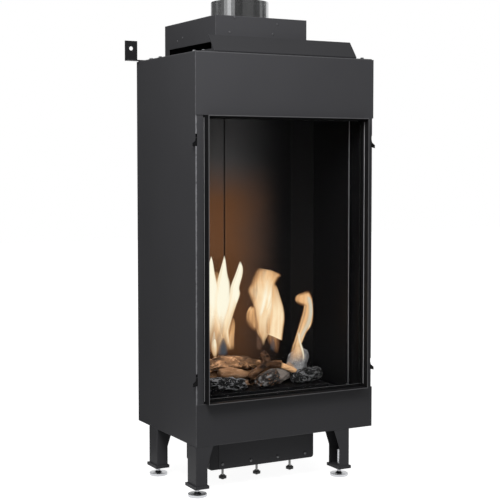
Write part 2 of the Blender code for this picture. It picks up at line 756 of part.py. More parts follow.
def make_foot(label, centre):
    """A screw foot: a disc with a cone and a threaded stem up into the leg."""
    disc = FOOT_DISC_HEIGHT
    cone = disc + FOOT_CONE_HEIGHT
    profile = [(0, 0), (FOOT_DISC_RADIUS - EDGE_RADIUS, 0), (FOOT_DISC_RADIUS, EDGE_RADIUS),
               (FOOT_DISC_RADIUS, disc - EDGE_RADIUS), (FOOT_DISC_RADIUS - EDGE_RADIUS, disc),
               (FOOT_CONE_RADIUS, disc + EDGE_RADIUS), (FOOT_STEM_RADIUS, cone),
               (FOOT_STEM_RADIUS, cone + FOOT_STEM_HEIGHT), (0, cone + FOOT_STEM_HEIGHT)]
    return turned("foot_" + label, profile, (centre[0], centre[1], 0), PLATED_STEEL, KNOB_SIDES)


def make_window():
    """The window frame, its glass and its rope seal, on one tilting empty."""
    tilt = bpy.data.objects.new("window_tilt", None)
    tilt_place = Vector((0, FRONT_Y - WINDOW_TILT_SETBACK, WINDOW_LOW))
    tilt.location = tilt_place
    bpy.context.scene.collection.objects.link(tilt)
    bpy.context.view_layer.update()
    lip = FRONT_Y - WINDOW_PROUD
    rear = FLANGE_Y + WINDOW_WALL
    wall = WINDOW_WALL
    outline = [(0, lip), (0, rear), (-wall - FLANGE_IN, rear), (-wall - FLANGE_IN, FLANGE_Y),
               (-wall, FLANGE_Y), (-wall, lip)]
    bm = ring_mesh(outline, WINDOW_X, WINDOW_LOW, WINDOW_HIGH)
    frame = add_object("window_frame", bm, tuple(tilt_place), DARK_STEEL)
    for label, side in (("_flange_left", -1), ("_flange_right", 1)):
        reach = sorted((side * (WINDOW_X - wall / 2), side * (WINDOW_X + FLANGE_OUT)))
        join_box(frame, label, (reach[0], FLANGE_Y, WINDOW_LOW), (reach[1], rear, WINDOW_HIGH))
    across = WINDOW_X - GLASS_INSET
    low = (-across, GLASS_Y, WINDOW_LOW + GLASS_INSET)
    high = (across, GLASS_Y + GLASS_THICKNESS, WINDOW_HIGH - GLASS_INSET)
    glass = box("window_glass", low, high, CLEAR_GLASS, tuple(tilt_place))
    section = []
    corner_radius = SEAL_RADIUS / math.cos(math.pi / SEAL_SIDES)
    for i in range(SEAL_SIDES):
        angle = math.tau * (i + 0.5) / SEAL_SIDES
        section.append((corner_radius * math.cos(angle), SEAL_Y + corner_radius * math.sin(angle)))
    inset = GLASS_INSET + SEAL_RADIUS
    bm = ring_mesh(section, WINDOW_X - inset, WINDOW_LOW + inset, WINDOW_HIGH - inset)
    seal = add_object("window_seal", bm, tuple(tilt_place), ROPE_GREY)
    for piece in (frame, glass, seal):
        piece.parent = tilt
        piece.matrix_parent_inverse = Matrix.Translation(-tilt_place)


def make_firebox():
    """The firebox shell: walls, floor, roof, the flange that the seal meets, and its skirts."""
    sheet = FIREBOX_SHEET
    back = SHELL_BACK_Y - sheet
    low = BODY_Z + SHEET + FIT_GAP
    shell = box("firebox_shell", (-SHELL_X, SHELL_FRONT_Y + sheet / 2, SHELL_FLOOR_Z - sheet),
                (SHELL_X, SHELL_BACK_Y, SHELL_TOP_Z), LINER_BLACK)
    for label, side in (("_skirt_left", -1), ("_skirt_right", 1)):
        across = sorted((side * SHELL_X, side * (SHELL_X - sheet)))
        join_box(shell, label, (across[0], SHELL_FRONT_Y + sheet / 4, low),
                 (across[1], back, SHELL_FLOOR_Z - sheet / 2))
    flange_x = min(SHELL_X + FIREBOX_FLANGE, INNER_X)
    join_box(shell, "_flange", (-flange_x, SHELL_FRONT_Y, low),
             (flange_x, SHELL_FRONT_Y + sheet, SHELL_TOP_Z + sheet))
    pin = relief_pin()
    lug_x = RELIEF_OPENING / 2 + RELIEF_LAP + RUNNING_GAP
    for label, side in (("_lug_left", -1), ("_lug_right", 1)):
        across = sorted((pin[0] + side * lug_x, pin[0] + side * (lug_x + RELIEF_LUG_THICKNESS)))
        join_box(shell, label, (across[0], pin[1] - RELIEF_LUG / 2, SHELL_TOP_Z - sheet / 2),
                 (across[1], pin[1] + RELIEF_LUG / 2, pin[2] + RELIEF_LUG / 2))
    cut_box(shell, "_inside", (-SHELL_X + sheet, SHELL_FRONT_Y - OVERRUN, SHELL_FLOOR_Z),
            (SHELL_X - sheet, back, SHELL_TOP_Z - sheet))
    add_restrictor_guides(shell)
    cut_bore(shell, "_flue_hole", FLUE_INNER_RADIUS - FLUE_WALL, (FLUE_X, FLUE_Y, SHELL_TOP_Z),
             sheet + OVERRUN, segments=FLUE_SIDES)
    reach = RELIEF_OPENING / 2
    rear = pin[1] - RELIEF_LAP
    cut_box(shell, "_relief_opening", (RELIEF_X - reach, rear - RELIEF_OPENING, SHELL_TOP_Z - 2 * sheet),
            (RELIEF_X + reach, rear, SHELL_TOP_Z + OVERRUN))
    cut_bore(shell, "_pin_bores", RELIEF_PIN_RADIUS + FIT_GAP, pin, lug_x + RELIEF_LUG_THICKNESS + OVERRUN,
             axis=0, segments=PIN_SIDES)
    cut_bore(shell, "_pipe_hole", PIPE_RADIUS + PIPE_HOLE_GAP, supply_place(SHELL_FLOOR_Z), sheet + OVERRUN)
    return shell


def add_restrictor_guides(shell):
    """Two angles under the roof that carry the flue restrictor's edges."""
    sheet = FIREBOX_SHEET
    start = restrictor_start() - RESTRICTOR_TRAVEL - RUNNING_GAP
    end = restrictor_start() + RESTRICTOR_LENGTH
    roof = SHELL_TOP_Z - sheet / 2
    ledge = SHELL_TOP_Z - sheet - RESTRICTOR_GUIDE
    inner = RESTRICTOR_WIDTH / 2 + RUNNING_GAP
    for label, side in (("_guide_front", -1), ("_guide_back", 1)):
        outline = [(inner, roof), (inner, ledge), (inner - RESTRICTOR_GUIDE, ledge),
                   (inner - RESTRICTOR_GUIDE, ledge - sheet), (inner + sheet, ledge - sheet),
                   (inner + sheet, roof)]
        outline = [(FLUE_Y + side * across, up) for across, up in outline]
        combine(shell, cutter(shell.name + label, prism_mesh(outline, 0, start, end)), "UNION")


def relief_pin():
    """The centre of the relief flap's hinge pin."""
    level = SHELL_TOP_Z + FIT_GAP + RELIEF_PIN_RADIUS + SHEET
    return (RELIEF_X, FLUE_Y + RELIEF_OPENING / 2 + RELIEF_LAP, level)


def make_relief_flap():
    """The flap that lies over the roof's relief opening, on stub pins at its rear edge."""
    pin = relief_pin()
    half = RELIEF_OPENING / 2 + RELIEF_LAP
    front = pin[1] - 2 * half
    under = SHELL_TOP_Z + FIT_GAP
    flap = box("relief_flap", (RELIEF_X - half, front, under), (RELIEF_X + half, pin[1], under + SHEET),
               PLATED_STEEL, origin=pin)
    rounds = {"_pin": (RELIEF_PIN_RADIUS, half + RUNNING_GAP + RELIEF_LUG_THICKNESS),
              "_barrel": (RELIEF_PIN_RADIUS + SHEET, half)}
    for label, (radius, reach) in rounds.items():
        profile = ((0, -reach), (radius, -reach), (radius, reach), (0, reach))
        bm = turned_mesh(profile, PIN_SIDES, 0)
        bmesh.ops.translate(bm, verts=bm.verts[:], vec=Vector(pin))
        combine(flap, cutter("relief_flap" + label, bm), "UNION")
    return flap


def restrictor_start():
    """The edge of the flue restrictor that is nearest the outlet when it is open."""
    return FLUE_X + FLUE_INNER_RADIUS + RESTRICTOR_CLEAR


def make_flue_restrictor():
    """The plate that slides across the outlet under the firebox's roof, with its tab."""
    start = restrictor_start()
    low = SHELL_TOP_Z - FIREBOX_SHEET - RESTRICTOR_GUIDE + FIT_GAP
    half = RESTRICTOR_WIDTH / 2
    tab_x = start + RESTRICTOR_LENGTH
    plate = box("flue_restrictor", (start, FLUE_Y - half, low), (tab_x, FLUE_Y + half, low + SHEET),
                PLATED_STEEL)
    join_box(plate, "_tab", (tab_x - SHEET, FLUE_Y - RESTRICTOR_TAB, low - RESTRICTOR_TAB),
             (tab_x - SHEET / 4, FLUE_Y + RESTRICTOR_TAB, low + SHEET / 2))
    return plate


def make_liners():
    """The folded side liners and the two back liners with the joint between them."""
    low = SHELL_FLOOR_Z + FIT_GAP
    high = SHELL_TOP_Z - FIREBOX_SHEET - RESTRICTOR_GUIDE - LINER_TOP_GAP
    for name, side in (("liner_left", -1), ("liner_right", 1)):
        wall = side * LINER_X
        hem = side * (LINER_X - LINER_HEM)
        fold_y = LINER_BACK_Y - LINER_CORNER_DEPTH
        corner_x = side * (LINER_X - LINER_CORNER_WIDTH)
        points = [(hem, LINER_FRONT_Y), (wall, LINER_FRONT_Y), (wall, fold_y), (corner_x, LINER_BACK_Y)]
        if side < 0:
            points.reverse()
        folded_sheet(name, points, LINER_SHEET, 2, low, high, LINER_BLACK, radius=LINER_SHEET + EDGE_RADIUS)
    back_y = LINER_BACK_Y - LINER_SHEET
    edge = LINER_X - LINER_CORNER_WIDTH - LINER_SHEET
    box("liner_back_left", (-edge, back_y, low), (LINER_JOINT_X - LINER_JOINT / 2, LINER_BACK_Y, high),
        LINER_BLACK)
    box("liner_back_right", (LINER_JOINT_X + LINER_JOINT / 2, back_y, low), (edge, LINER_BACK_Y, high),
        LINER_BLACK)


def make_floor_grille():
    """The slotted strip behind the glass, folded down at its front and back."""
    low = SHELL_FLOOR_Z + FIT_GAP
    top = low + GRILLE_HEIGHT
    back = GRILLE_Y + GRILLE_DEPTH
    half = LINER_X - LINER_HEM - FIT_GAP
    points = [(GRILLE_Y, low), (GRILLE_Y, top), (back, top), (back, low)]
    points.reverse()
    grille = folded_sheet("floor_grille", points, SHEET, 0, -half, half, LINER_BLACK,
                          radius=SHEET + EDGE_RADIUS)
    for label, side in (("_slot_left", -1), ("_slot_right", 1)):
        across = sorted((side * GRILLE_SLOT_BRIDGE / 2, side * (GRILLE_SLOT_BRIDGE / 2 + GRILLE_SLOT_LENGTH)))
        slot_y = GRILLE_Y + GRILLE_SLOT_SETBACK
        cut_box(grille, label, (across[0], slot_y, top - SHEET - OVERRUN),
                (across[1], slot_y + GRILLE_SLOT_WIDTH, top + OVERRUN))
    return grille


def make_window_catch():
    """The small bright catch on the grille, behind the window's lower right corner."""
    low = SHELL_FLOOR_Z + FIT_GAP + GRILLE_HEIGHT + FIT_GAP
    y = GRILLE_Y + GRILLE_DEPTH / 2 - CATCH_DEPTH / 2
    start = CATCH_X - CATCH_WIDTH / 2
    points = [(start, low), (start + CATCH_WIDTH, low), (start + CATCH_WIDTH, low + CATCH_HEIGHT)]
    return folded_sheet("window_catch", points, SHEET, 1, y, y + CATCH_DEPTH, PLATED_STEEL,
                        radius=SHEET + EDGE_RADIUS)


def make_burner():
    """The burner tray, open underneath, with a row of ports along its front."""
    low = SHELL_FLOOR_Z + FIT_GAP
    tray = box("burner_tray", (-BURNER_X, BURNER_FRONT_Y, low), (BURNER_X, BURNER_BACK_Y, BURNER_Z),
               LINER_BLACK)
    cut_box(tray, "_inside", (-BURNER_X + BURNER_SHEET, BURNER_FRONT_Y + BURNER_SHEET, low - OVERRUN),
            (BURNER_X - BURNER_SHEET, BURNER_BACK_Y - BURNER_SHEET, BURNER_Z - BURNER_SHEET))
    pitch = 2 * BURNER_X / (PORT_COUNT + 1)
    ports = bmesh.new()
    row_y = BURNER_FRONT_Y + PORT_ROW_SETBACK
    for i in range(PORT_COUNT):
        x = -BURNER_X + pitch * (i + 1)
        size = Matrix.Diagonal((PORT_WIDTH, PORT_DEPTH, 2 * BURNER_HEIGHT, 1.0))
        place = Matrix.Translation((x, row_y, BURNER_Z + BURNER_HEIGHT / 2))
        bmesh.ops.create_cube(ports, size=1.0, matrix=place @ size)
    combine(tray, cutter("burner_tray_ports", ports), "DIFFERENCE")
    return tray


def make_pilot():
    """The pilot burner's block, with the ignition electrode and the flame sensor in it."""
    y = BURNER_BACK_Y - PILOT_FROM_BACK
    low = BURNER_Z + FIT_GAP
    half = PILOT_WIDTH / 2
    block = box("pilot_burner", (PILOT_X - half, y - PILOT_DEPTH / 2, low),
                (PILOT_X + half, y + PILOT_DEPTH / 2, low + PILOT_HEIGHT), BRASS)
    head_low = low + PILOT_HEIGHT / 2
    head_top = low + PILOT_HEIGHT + PILOT_HEAD_HEIGHT
    profile = ((0, head_low), (PILOT_HEAD_RADIUS, head_low), (PILOT_HEAD_RADIUS, head_top), (0, head_top))
    bm = turned_mesh(profile, PIN_SIDES)
    bmesh.ops.translate(bm, verts=bm.verts[:], vec=Vector((PILOT_X, y, 0)))
    combine(block, cutter("pilot_burner_head", bm), "UNION")
    for name, side, colour in (("ignition_electrode", -1, PLATED_STEEL), ("flame_sensor", 1, BRASS)):
        x = PILOT_X + side * PROBE_SPACING
        top = low + PILOT_HEIGHT + FIT_GAP
        foot = low + PILOT_HEIGHT / 2
        collar = top + PROBE_COLLAR_HEIGHT
        profile = [(0, foot), (PROBE_RADIUS, foot), (PROBE_RADIUS, top), (PROBE_COLLAR_RADIUS, top),
                   (PROBE_COLLAR_RADIUS, collar), (PROBE_RADIUS, collar), (PROBE_RADIUS, top + PROBE_HEIGHT),
                   (0, top + PROBE_HEIGHT)]
        turned(name, profile, (x, y, 0), colour, STUD_SIDES)
        cut_bore(block, "_bore_" + name, PROBE_RADIUS + FIT_GAP, (x, y, low + PILOT_HEIGHT),
                 PILOT_HEIGHT / 2 + FIT_GAP, segments=STUD_SIDES)
    return block


def log_point(shares):
    """A log's point from its shares of the burner's size and the pile's height."""
    y = BURNER_FRONT_Y + shares[1] * (BURNER_BACK_Y - BURNER_FRONT_Y)
    return Vector((shares[0] * BURNER_X, y, BURNER_Z + shares[2] * LOG_PILE_HEIGHT))


def smooth_along(values, t):
    """Read a value at t on a smooth curve through evenly spaced values."""
    spans = len(values) - 1
    i = min(int(t * spans), spans - 1)
    u = t * spans - i
    before = values[max(i - 1, 0)]
    start = values[i]
    end = values[i + 1]
    after = values[min(i + 2, spans)]
    a = 2 * start
    b = end - before
    c = 2 * before - 5 * start + 4 * end - after
    d = 3 * start - before - 3 * end + after
    return (a + b * u + c * u * u + d * u * u * u) * 0.5


def log_skin(angle, t, seed):
    """How far a log's skin stands from its mean radius, as a share of that radius."""
    coarse = math.sin(LOG_RIDGES * angle + seed) * math.sin(LOG_SWELLS * math.tau * t + LOG_STAGGER * seed)
    fine = math.sin(LOG_FINE_RIDGES * angle - LOG_STAGGER * seed + LOG_TWIST * t)
    return LOG_BUMP_SHARE * coarse + LOG_FINE_SHARE * fine


def log_mesh(shares, seed, grow=0.0, rings=LOG_RINGS, sides=LOG_SIDES):
    """A bent, tapered log with a gently uneven skin, flat where it lies on the burner."""
    points = [log_point(row) for row in shares[0]]
    radii = [share * LOG_RADIUS for share in shares[1]]
    floor = BURNER_Z + FIT_GAP - grow
    bm = bmesh.new()
    rows = []
    for k in range(rings + 1):
        t = k / rings
        centre = smooth_along(points, t)
        radius = smooth_along(radii, t)
        onward = smooth_along(points, min(t + LOG_LOOK_SHARE, 1.0))
        ahead = (onward - smooth_along(points, max(t - LOG_LOOK_SHARE, 0.0))).normalized()
        if k in (0, rings):
            centre = centre + ahead * (grow if k else -grow)
        side = ahead.cross(Vector((0, 0, 1)))
        if side.length < LOG_STEEP_SHARE:
            side = ahead.cross(Vector((0, 1, 0)))
        side.normalize()
        lift = side.cross(ahead)
        taper = 1.0 - LOG_END_TAPER_SHARE * abs(2 * t - 1) ** LOG_END_SHARPNESS
        row = []
        for i in range(sides):
            angle = math.tau * i / sides
            reach = radius * taper * (1 + log_skin(angle, t, seed)) + grow
            spot = centre + (side * math.cos(angle) + lift * math.sin(angle)) * reach
            spot.z = max(spot.z, floor)
            row.append(bm.verts.new(spot))
        rows.append(row)
    for row, following in zip(rows, rows[1:]):
        for i in range(sides):
            j = (i + 1) % sides
            bm.faces.new((row[i], row[j], following[j], following[i]))
    for row, outward in ((rows[0], -1), (rows[-1], 1)):
        middle_point = sum((v.co for v in row), Vector()) / sides
        near = rows[1] if outward < 0 else rows[-2]
        inside = sum((v.co for v in near), Vector()) / sides
        along = (middle_point - inside).normalized()
        tip_point = middle_point + along * (LOG_RADIUS * LOG_BUMP_SHARE + grow)
        tip_point.z = max(tip_point.z, floor + FIT_GAP)
        tip = bm.verts.new(tip_point)
        for i in range(sides):
            bm.faces.new((row[i], row[(i + 1) % sides], tip))
    return bm


def make_logs():
    """The log set. Each log is cut clear of the logs that were laid before it."""
    laid = []
    for seed, (name, shares) in enumerate(LOG_SHARES.items()):
        colour = CHARRED if "charred" in name or "chunk" in name else BARK_BROWN
        bm = log_mesh(shares, seed)
        log = add_object(name, bm, mesh_centre(bm), colour, smooth=True)
        clear_of(log, laid)
        laid.append((shares, seed, log))
    skins = []
    for label, shares in BRANCH_SHARES.items():
        bm = log_mesh(shares, len(laid) + len(skins), rings=BRANCH_RINGS, sides=BRANCH_SIDES)
        if skins:
            skins.append(cutter("log_forked_branch" + label, bm))
            combine(skins[0], skins[-1], "UNION")
        else:
            skins.append(add_object("log_forked_branch", bm, mesh_centre(bm), BARK_BROWN, smooth=True))
    clear_of(skins[0], laid, skins)


def clear_of(log, laid, skins=None):
    """Cut a log with grown copies of the logs that it may touch."""
    for shares, seed, other in laid:
        if not any(boxes_meet(skin, other) for skin in skins or (log,)):
            continue
        skin = log_mesh(shares, seed, grow=LOG_GAP_SHARE * LOG_RADIUS)
        grown = cutter(log.name + "_clear_of_" + other.name, skin)
        combine(log, grown, "DIFFERENCE")


def boxes_meet(first, second):
    """Whether two objects' boxes come within a log's skin of each other."""
    for axis in range(3):
        spans = []
        for item in (first, second):
            places = [v.co[axis] + item.location[axis] for v in item.data.vertices]
            spans.append((min(places) - FIT_GAP, max(places) + FIT_GAP))
        if spans[0][0] > spans[1][1] or spans[1][0] > spans[0][1]:
            return False
    return True


def supply_place(level):
    """A point on the burner pipe's axis."""
    return (VALVE_X, VALVE_Y + VALVE_DEPTH / 2 + SUPPLY_BACK, level)


def box_corner(centre_x, start):
    """The points of one of the control box's rounded lower corners."""
    points = []
    for step in range(BOX_CORNER_STEPS + 1):
        angle = start + step * math.pi / 2 / BOX_CORNER_STEPS
        points.append((centre_x + BOX_CORNER_RADIUS * math.cos(angle),
                       BOX_LOW_Z + BOX_CORNER_RADIUS + BOX_CORNER_RADIUS * math.sin(angle)))
    return points


def make_control_box():
    """The control box under the casing, with its three studs."""
    left = BOX_CENTRE_X - BOX_WIDTH / 2
    right = BOX_CENTRE_X + BOX_WIDTH / 2
    right_side = box_corner(right - BOX_CORNER_RADIUS, 1.5 * math.pi) + [(right, BOX_TOP_Z)]
    outline = [(left, BOX_TOP_Z)] + box_corner(left + BOX_CORNER_RADIUS, math.pi) + right_side
    bm = prism_mesh(outline, 1, BOX_FRONT_Y + BOX_SHEET + FIT_GAP, BOX_BACK_Y)
    tray = add_object("control_box", bm, mesh_centre(bm), DARK_STEEL)
    cover_left = left + BOX_STRIP_WIDTH
    front = BOX_FRONT_Y + 2 * BOX_SHEET + FIT_GAP
    cut_box(tray, "_inside", (left + BOX_SHEET, front, BOX_LOW_Z + BOX_SHEET),
            (right - BOX_SHEET, BOX_BACK_Y - BOX_SHEET, BOX_TOP_Z + OVERRUN))
    cut_box(tray, "_front_opening", (cover_left + BOX_LIP, BOX_FRONT_Y - OVERRUN, BOX_LOW_Z + BOX_LIP),
            (right - BOX_LIP, front + OVERRUN, BOX_TOP_Z - BOX_LIP))
    for i, x in enumerate(stud_places()):
        low = BOX_LOW_Z - STUD_DROP
        seat = BOX_LOW_Z + BOX_SHEET / 2
        head = BOX_LOW_Z + BOX_SHEET + STUD_HEAD_HEIGHT
        profile = ((0, low), (STUD_RADIUS, low), (STUD_RADIUS, seat), (STUD_HEAD_RADIUS, seat),
                   (STUD_HEAD_RADIUS, head), (0, head))
        bm = turned_mesh(profile, STUD_SIDES)
        bmesh.ops.translate(bm, verts=bm.verts[:], vec=Vector((x, BOX_FRONT_Y + STUD_SETBACK, 0)))
        combine(tray, cutter("control_box_stud_%d" % i, bm), "UNION")
    inlet = inlet_place()
    cut_bore(tray, "_inlet_hole", PIPE_RADIUS + PIPE_HOLE_GAP, (inlet[0], BOX_BACK_Y, inlet[2]),
             BOX_SHEET + OVERRUN, axis=1)
    cover_outline = [(cover_left, BOX_TOP_Z), (cover_left, BOX_LOW_Z)] + right_side
    bm = prism_mesh(cover_outline, 1, BOX_FRONT_Y, BOX_FRONT_Y + BOX_SHEET)
    add_object("control_box_cover", bm, mesh_centre(bm), DARK_STEEL)


def stud_places():
    """The studs' places across the control box."""
    first = STUD_CENTRE_X - STUD_SPACING * (STUD_COUNT - 1) / 2
    return [first + STUD_SPACING * i for i in range(STUD_COUNT)]


def make_thumb_nut(index, x):
    """A fluted thumb nut on a stud, free to turn and run along it."""
    y = BOX_FRONT_Y + STUD_SETBACK
    low = BOX_LOW_Z - STUD_DROP + NUT_END
    bore = STUD_RADIUS + FIT_GAP
    top = low + NUT_HEIGHT
    profile = [(bore, low), (NUT_RADIUS, low), (NUT_RADIUS, top), (NUT_HUB_RADIUS, top),
               (NUT_HUB_RADIUS, top + NUT_HUB_HEIGHT), (bore, top + NUT_HUB_HEIGHT)]
    name = "thumb_nut_" + ("left", "centre", "right")[index]
    nut = turned(name, profile, (x, y, 0), KNURLED_BLACK, KNOB_SIDES)
    flutes = bmesh.new()
    for i in range(NUT_FLUTES):
        angle = math.tau * i / NUT_FLUTES
        place = Matrix.Translation((x + NUT_RADIUS * math.cos(angle), y + NUT_RADIUS * math.sin(angle), low))
        bmesh.ops.create_cone(flutes, cap_ends=True, segments=NUT_FLUTE_SIDES, radius1=NUT_FLUTE_RADIUS,
                              radius2=NUT_FLUTE_RADIUS, depth=3 * NUT_HEIGHT, matrix=place)
    combine(nut, cutter(name + "_flutes", flutes), "DIFFERENCE")
    return nut


def inlet_place():
    """The middle of the gas inlet on the valve's back face."""
    return (VALVE_X, VALVE_Y + VALVE_DEPTH, VALVE_Z + VALVE_HEIGHT / 2)


def make_valve():
    """The gas valve with its two knobs, and the inlet and burner pipes."""
    half = VALVE_WIDTH / 2
    low = (VALVE_X - half, VALVE_Y, VALVE_Z)
    high = (VALVE_X + half, VALVE_Y + VALVE_DEPTH, VALVE_Z + VALVE_HEIGHT)
    bevel_edges(box("gas_valve", low, high, VALVE_ALLOY), width=BOX_SHEET)
    middle_z = (low[2] + high[2]) / 2
    for name, side in (("valve_gas_knob", -1), ("valve_pilot_knob", 1)):
        place = (VALVE_X + side * KNOB_SPACING / 2, VALVE_Y - FIT_GAP, middle_z)
        profile = ((0, -KNOB_LENGTH), (KNOB_RADIUS, -KNOB_LENGTH), (KNOB_RADIUS, 0), (0, 0))
        bm = turned_mesh(profile, KNOB_SIDES, 1)
        bmesh.ops.translate(bm, verts=bm.verts[:], vec=Vector(place))
        knob = add_object(name, bm, place, KNOB_BLACK, smooth=True)
        face = place[1] - KNOB_LENGTH
        join_box(knob, "_bar", (place[0] - KNOB_BAR / 2, face - KNOB_BAR_HEIGHT, middle_z - KNOB_RADIUS),
                 (place[0] + KNOB_BAR / 2, face + EDGE_RADIUS, middle_z + KNOB_RADIUS - KNOB_BAR))
    start = FIT_GAP
    end = INLET_REACH + BOX_BACK_Y - inlet_place()[1]
    bore = PIPE_RADIUS - PIPE_WALL
    nut = end - UNION_LENGTH
    profile = [(bore, start), (PIPE_RADIUS, start), (PIPE_RADIUS, nut), (UNION_RADIUS, nut),
               (UNION_RADIUS, end), (bore, end)]
    turned("gas_inlet_pipe", profile, inlet_place(), BRASS, PIPE_SIDES, axis=1)
    foot = VALVE_Z + VALVE_HEIGHT + FIT_GAP
    top = BURNER_Z - BURNER_SHEET - BURNER_HEIGHT / 4
    profile = [(bore, foot), (PIPE_RADIUS, foot), (PIPE_RADIUS, top), (bore, top)]
    turned("burner_supply_pipe", profile, supply_place(0), BRASS, PIPE_SIDES)


def main():
    """Build every piece."""
    clear_scene()
    for side in (-1, 1):
        make_side_panel(side)
        for label, level in hook_levels().items():
            make_trim_hook(side, label, level)
        make_wall_bracket(side)
    make_casing()
    make_hood()
    make_front_deflector()
    make_flue()
    for label, (web_x, front_y, side) in leg_places().items():
        make_foot(label, make_leg(label, web_x, front_y, side))
    make_window()
    make_firebox()
    make_relief_flap()
    make_flue_restrictor()
    make_liners()
    make_floor_grille()
    make_window_catch()
    make_burner()
    make_pilot()
    make_logs()
    make_control_box()
    for index, x in enumerate(stud_places()):
        make_thumb_nut(index, x)
    make_valve()


main()
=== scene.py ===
"""Looks of a portrait gas fire: painted casing, black firebox, ceramic logs and flames.

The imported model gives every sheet, pipe, leg and knob. This script gives them their finishes, and adds
the fixings, threads, rope seal, log surfaces, embers and flames, with a plain studio round it all.
All lengths are in metres.
"""

import json
import math

import bmesh
import bpy
import numpy as np
from bpy.props import FloatProperty, FloatVectorProperty, IntProperty, PointerProperty
from bpy.types import Operator, Panel, PropertyGroup
from mathutils import Euler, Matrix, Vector, noise


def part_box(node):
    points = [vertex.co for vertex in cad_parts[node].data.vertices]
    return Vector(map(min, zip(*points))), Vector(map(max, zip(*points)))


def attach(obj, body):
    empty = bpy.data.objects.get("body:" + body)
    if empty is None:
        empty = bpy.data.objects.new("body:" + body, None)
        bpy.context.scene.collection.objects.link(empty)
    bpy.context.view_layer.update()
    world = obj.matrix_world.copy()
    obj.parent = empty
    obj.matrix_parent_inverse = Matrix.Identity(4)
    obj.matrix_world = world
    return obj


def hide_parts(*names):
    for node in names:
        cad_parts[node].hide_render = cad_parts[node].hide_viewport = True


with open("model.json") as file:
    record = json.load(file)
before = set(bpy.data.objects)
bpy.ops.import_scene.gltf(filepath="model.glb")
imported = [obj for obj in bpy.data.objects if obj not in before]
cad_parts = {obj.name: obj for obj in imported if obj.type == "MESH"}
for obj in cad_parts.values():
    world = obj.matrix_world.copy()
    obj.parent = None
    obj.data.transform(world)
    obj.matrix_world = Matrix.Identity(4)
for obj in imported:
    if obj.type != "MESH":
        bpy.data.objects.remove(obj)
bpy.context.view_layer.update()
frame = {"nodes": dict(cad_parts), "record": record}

bl_info = {
    "name": "Gas Fire Looks",
    "version": (1, 0, 0),
    "blender": (4, 5, 0),
    "location": "View3D > Sidebar > Gas Fire",
    "description": "Finishes, fixings, logs and flames of a portrait gas fire",
    "category": "Object",
}

NODES = frame["nodes"]
SLOT_OF = {part["node"]: part["material_slot"] for part in frame["record"]["subparts"]}
SLOT_COLOUR = {item["slot"]: tuple(item["base_color"]) for item in frame["record"]["materials"]}
MERGE = 0.00001
WHITE = (1.0, 1.0, 1.0, 1.0)


# Settings

def colour_setting(name, description, default):
    """A colour that a user can change."""
    return FloatVectorProperty(name=name, description=description, default=default, subtype="COLOR",
                               size=3, min=0.0, max=1.0)


def length_setting(name, description, default):
    """A length that a user can change."""
    return FloatProperty(name=name, description=description, default=default, min=0.0, precision=5,
                         unit="LENGTH")


def share_setting(name, description, default):
    """A share from none to all that a user can change."""
    return FloatProperty(name=name, description=description, default=default, min=0.0, max=1.0,
                         subtype="FACTOR")


def level_setting(name, description, default):
    """An amount of none or more that a user can change."""
    return FloatProperty(name=name, description=description, default=default, min=0.0)


def count_setting(name, description, default, least=0):
    """A whole number that a user can change."""
    return IntProperty(name=name, description=description, default=default, min=least)


class PaintSettings(PropertyGroup):
    """Paint of the casing and the enamel of the firebox."""

    casing: colour_setting("Casing", "Satin paint of the casing", SLOT_COLOUR["casing_steel"])
    casing_roughness: share_setting("Casing roughness", "How matt the casing's paint is", 0.5)
    grain: length_setting("Grain", "Width of the bumps in the baked paint", 0.0016)
    grain_height: length_setting("Grain height", "Height of the bumps in the baked paint", 0.00003)
    # The rubbed colour also paints the highlight on the window frame's front edge, and the dust.
    rubbed: colour_setting("Rubbed edge", "Paint worn thin along an edge", (0.11, 0.11, 0.115))
    # The corner colour is a painted highlight: the pale line where light catches the side panels' folded
    # front corners.
    corner: colour_setting("Corner", "Paint stretched thin over the front corners", (0.20, 0.20, 0.21))
    # The bright edge colour is a painted highlight, worn by the thin beads along the frame, liner and grille
    # edges.
    bright_edge: colour_setting("Bright edge", "Rolled edges of the frame and liners", (0.30, 0.30, 0.31))
    bead: length_setting("Bead", "Radius of a rolled edge", 0.0006)
    rub_width: length_setting("Rub width", "How far the wear reaches from an edge", 0.0012)
    liner: colour_setting("Liner", "Enamel of the firebox", SLOT_COLOUR["liner_black"])
    liner_roughness: share_setting("Liner roughness", "How matt the enamel is", 0.42)
    stud: colour_setting("Studs", "Bare studs under the control box", (0.70, 0.70, 0.68))
    # Painted firelight on the enamel: the first of these colours is painted shade away from the flames, the
    # second is painted light near them, and the third is the flames' glow painted brown low down beside
    # them.
    soot: colour_setting("Soot", "Enamel under soot, away from the flames", (0.0045, 0.0045, 0.0048))
    haze: colour_setting("Haze", "Enamel that the burner keeps clear of soot", (0.032, 0.032, 0.033))
    scorch: colour_setting("Scorch", "Enamel browned by the flames", (0.058, 0.0245, 0.0095))


class MetalSettings(PropertyGroup):
    """Bare metals, plastic and glass."""

    flue: colour_setting("Flue", "Stainless flue pipes", SLOT_COLOUR["flue_steel"])
    plated: colour_setting("Plated", "Zinc plated feet and catches", SLOT_COLOUR["plated_steel"])
    cast: colour_setting("Cast alloy", "Body of the gas valve", SLOT_COLOUR["valve_alloy"])
    brass: colour_setting("Brass", "Gas pipes and pilot", SLOT_COLOUR["brass"])
    plastic: colour_setting("Plastic", "Nuts and knobs", SLOT_COLOUR["black_plastic"])
    glass: colour_setting("Glass", "Clear ceramic glass", (0.99, 0.995, 0.995))


class SealSettings(PropertyGroup):
    """The plaited rope behind the window."""

    pitch: length_setting("Pitch", "Length of one twist of the rope", 0.0090)
    strand_share: share_setting("Strand", "Radius of a strand, as a share of the rope's", 0.52)
    strands: count_setting("Strands", "How many strands are twisted", 3, 2)


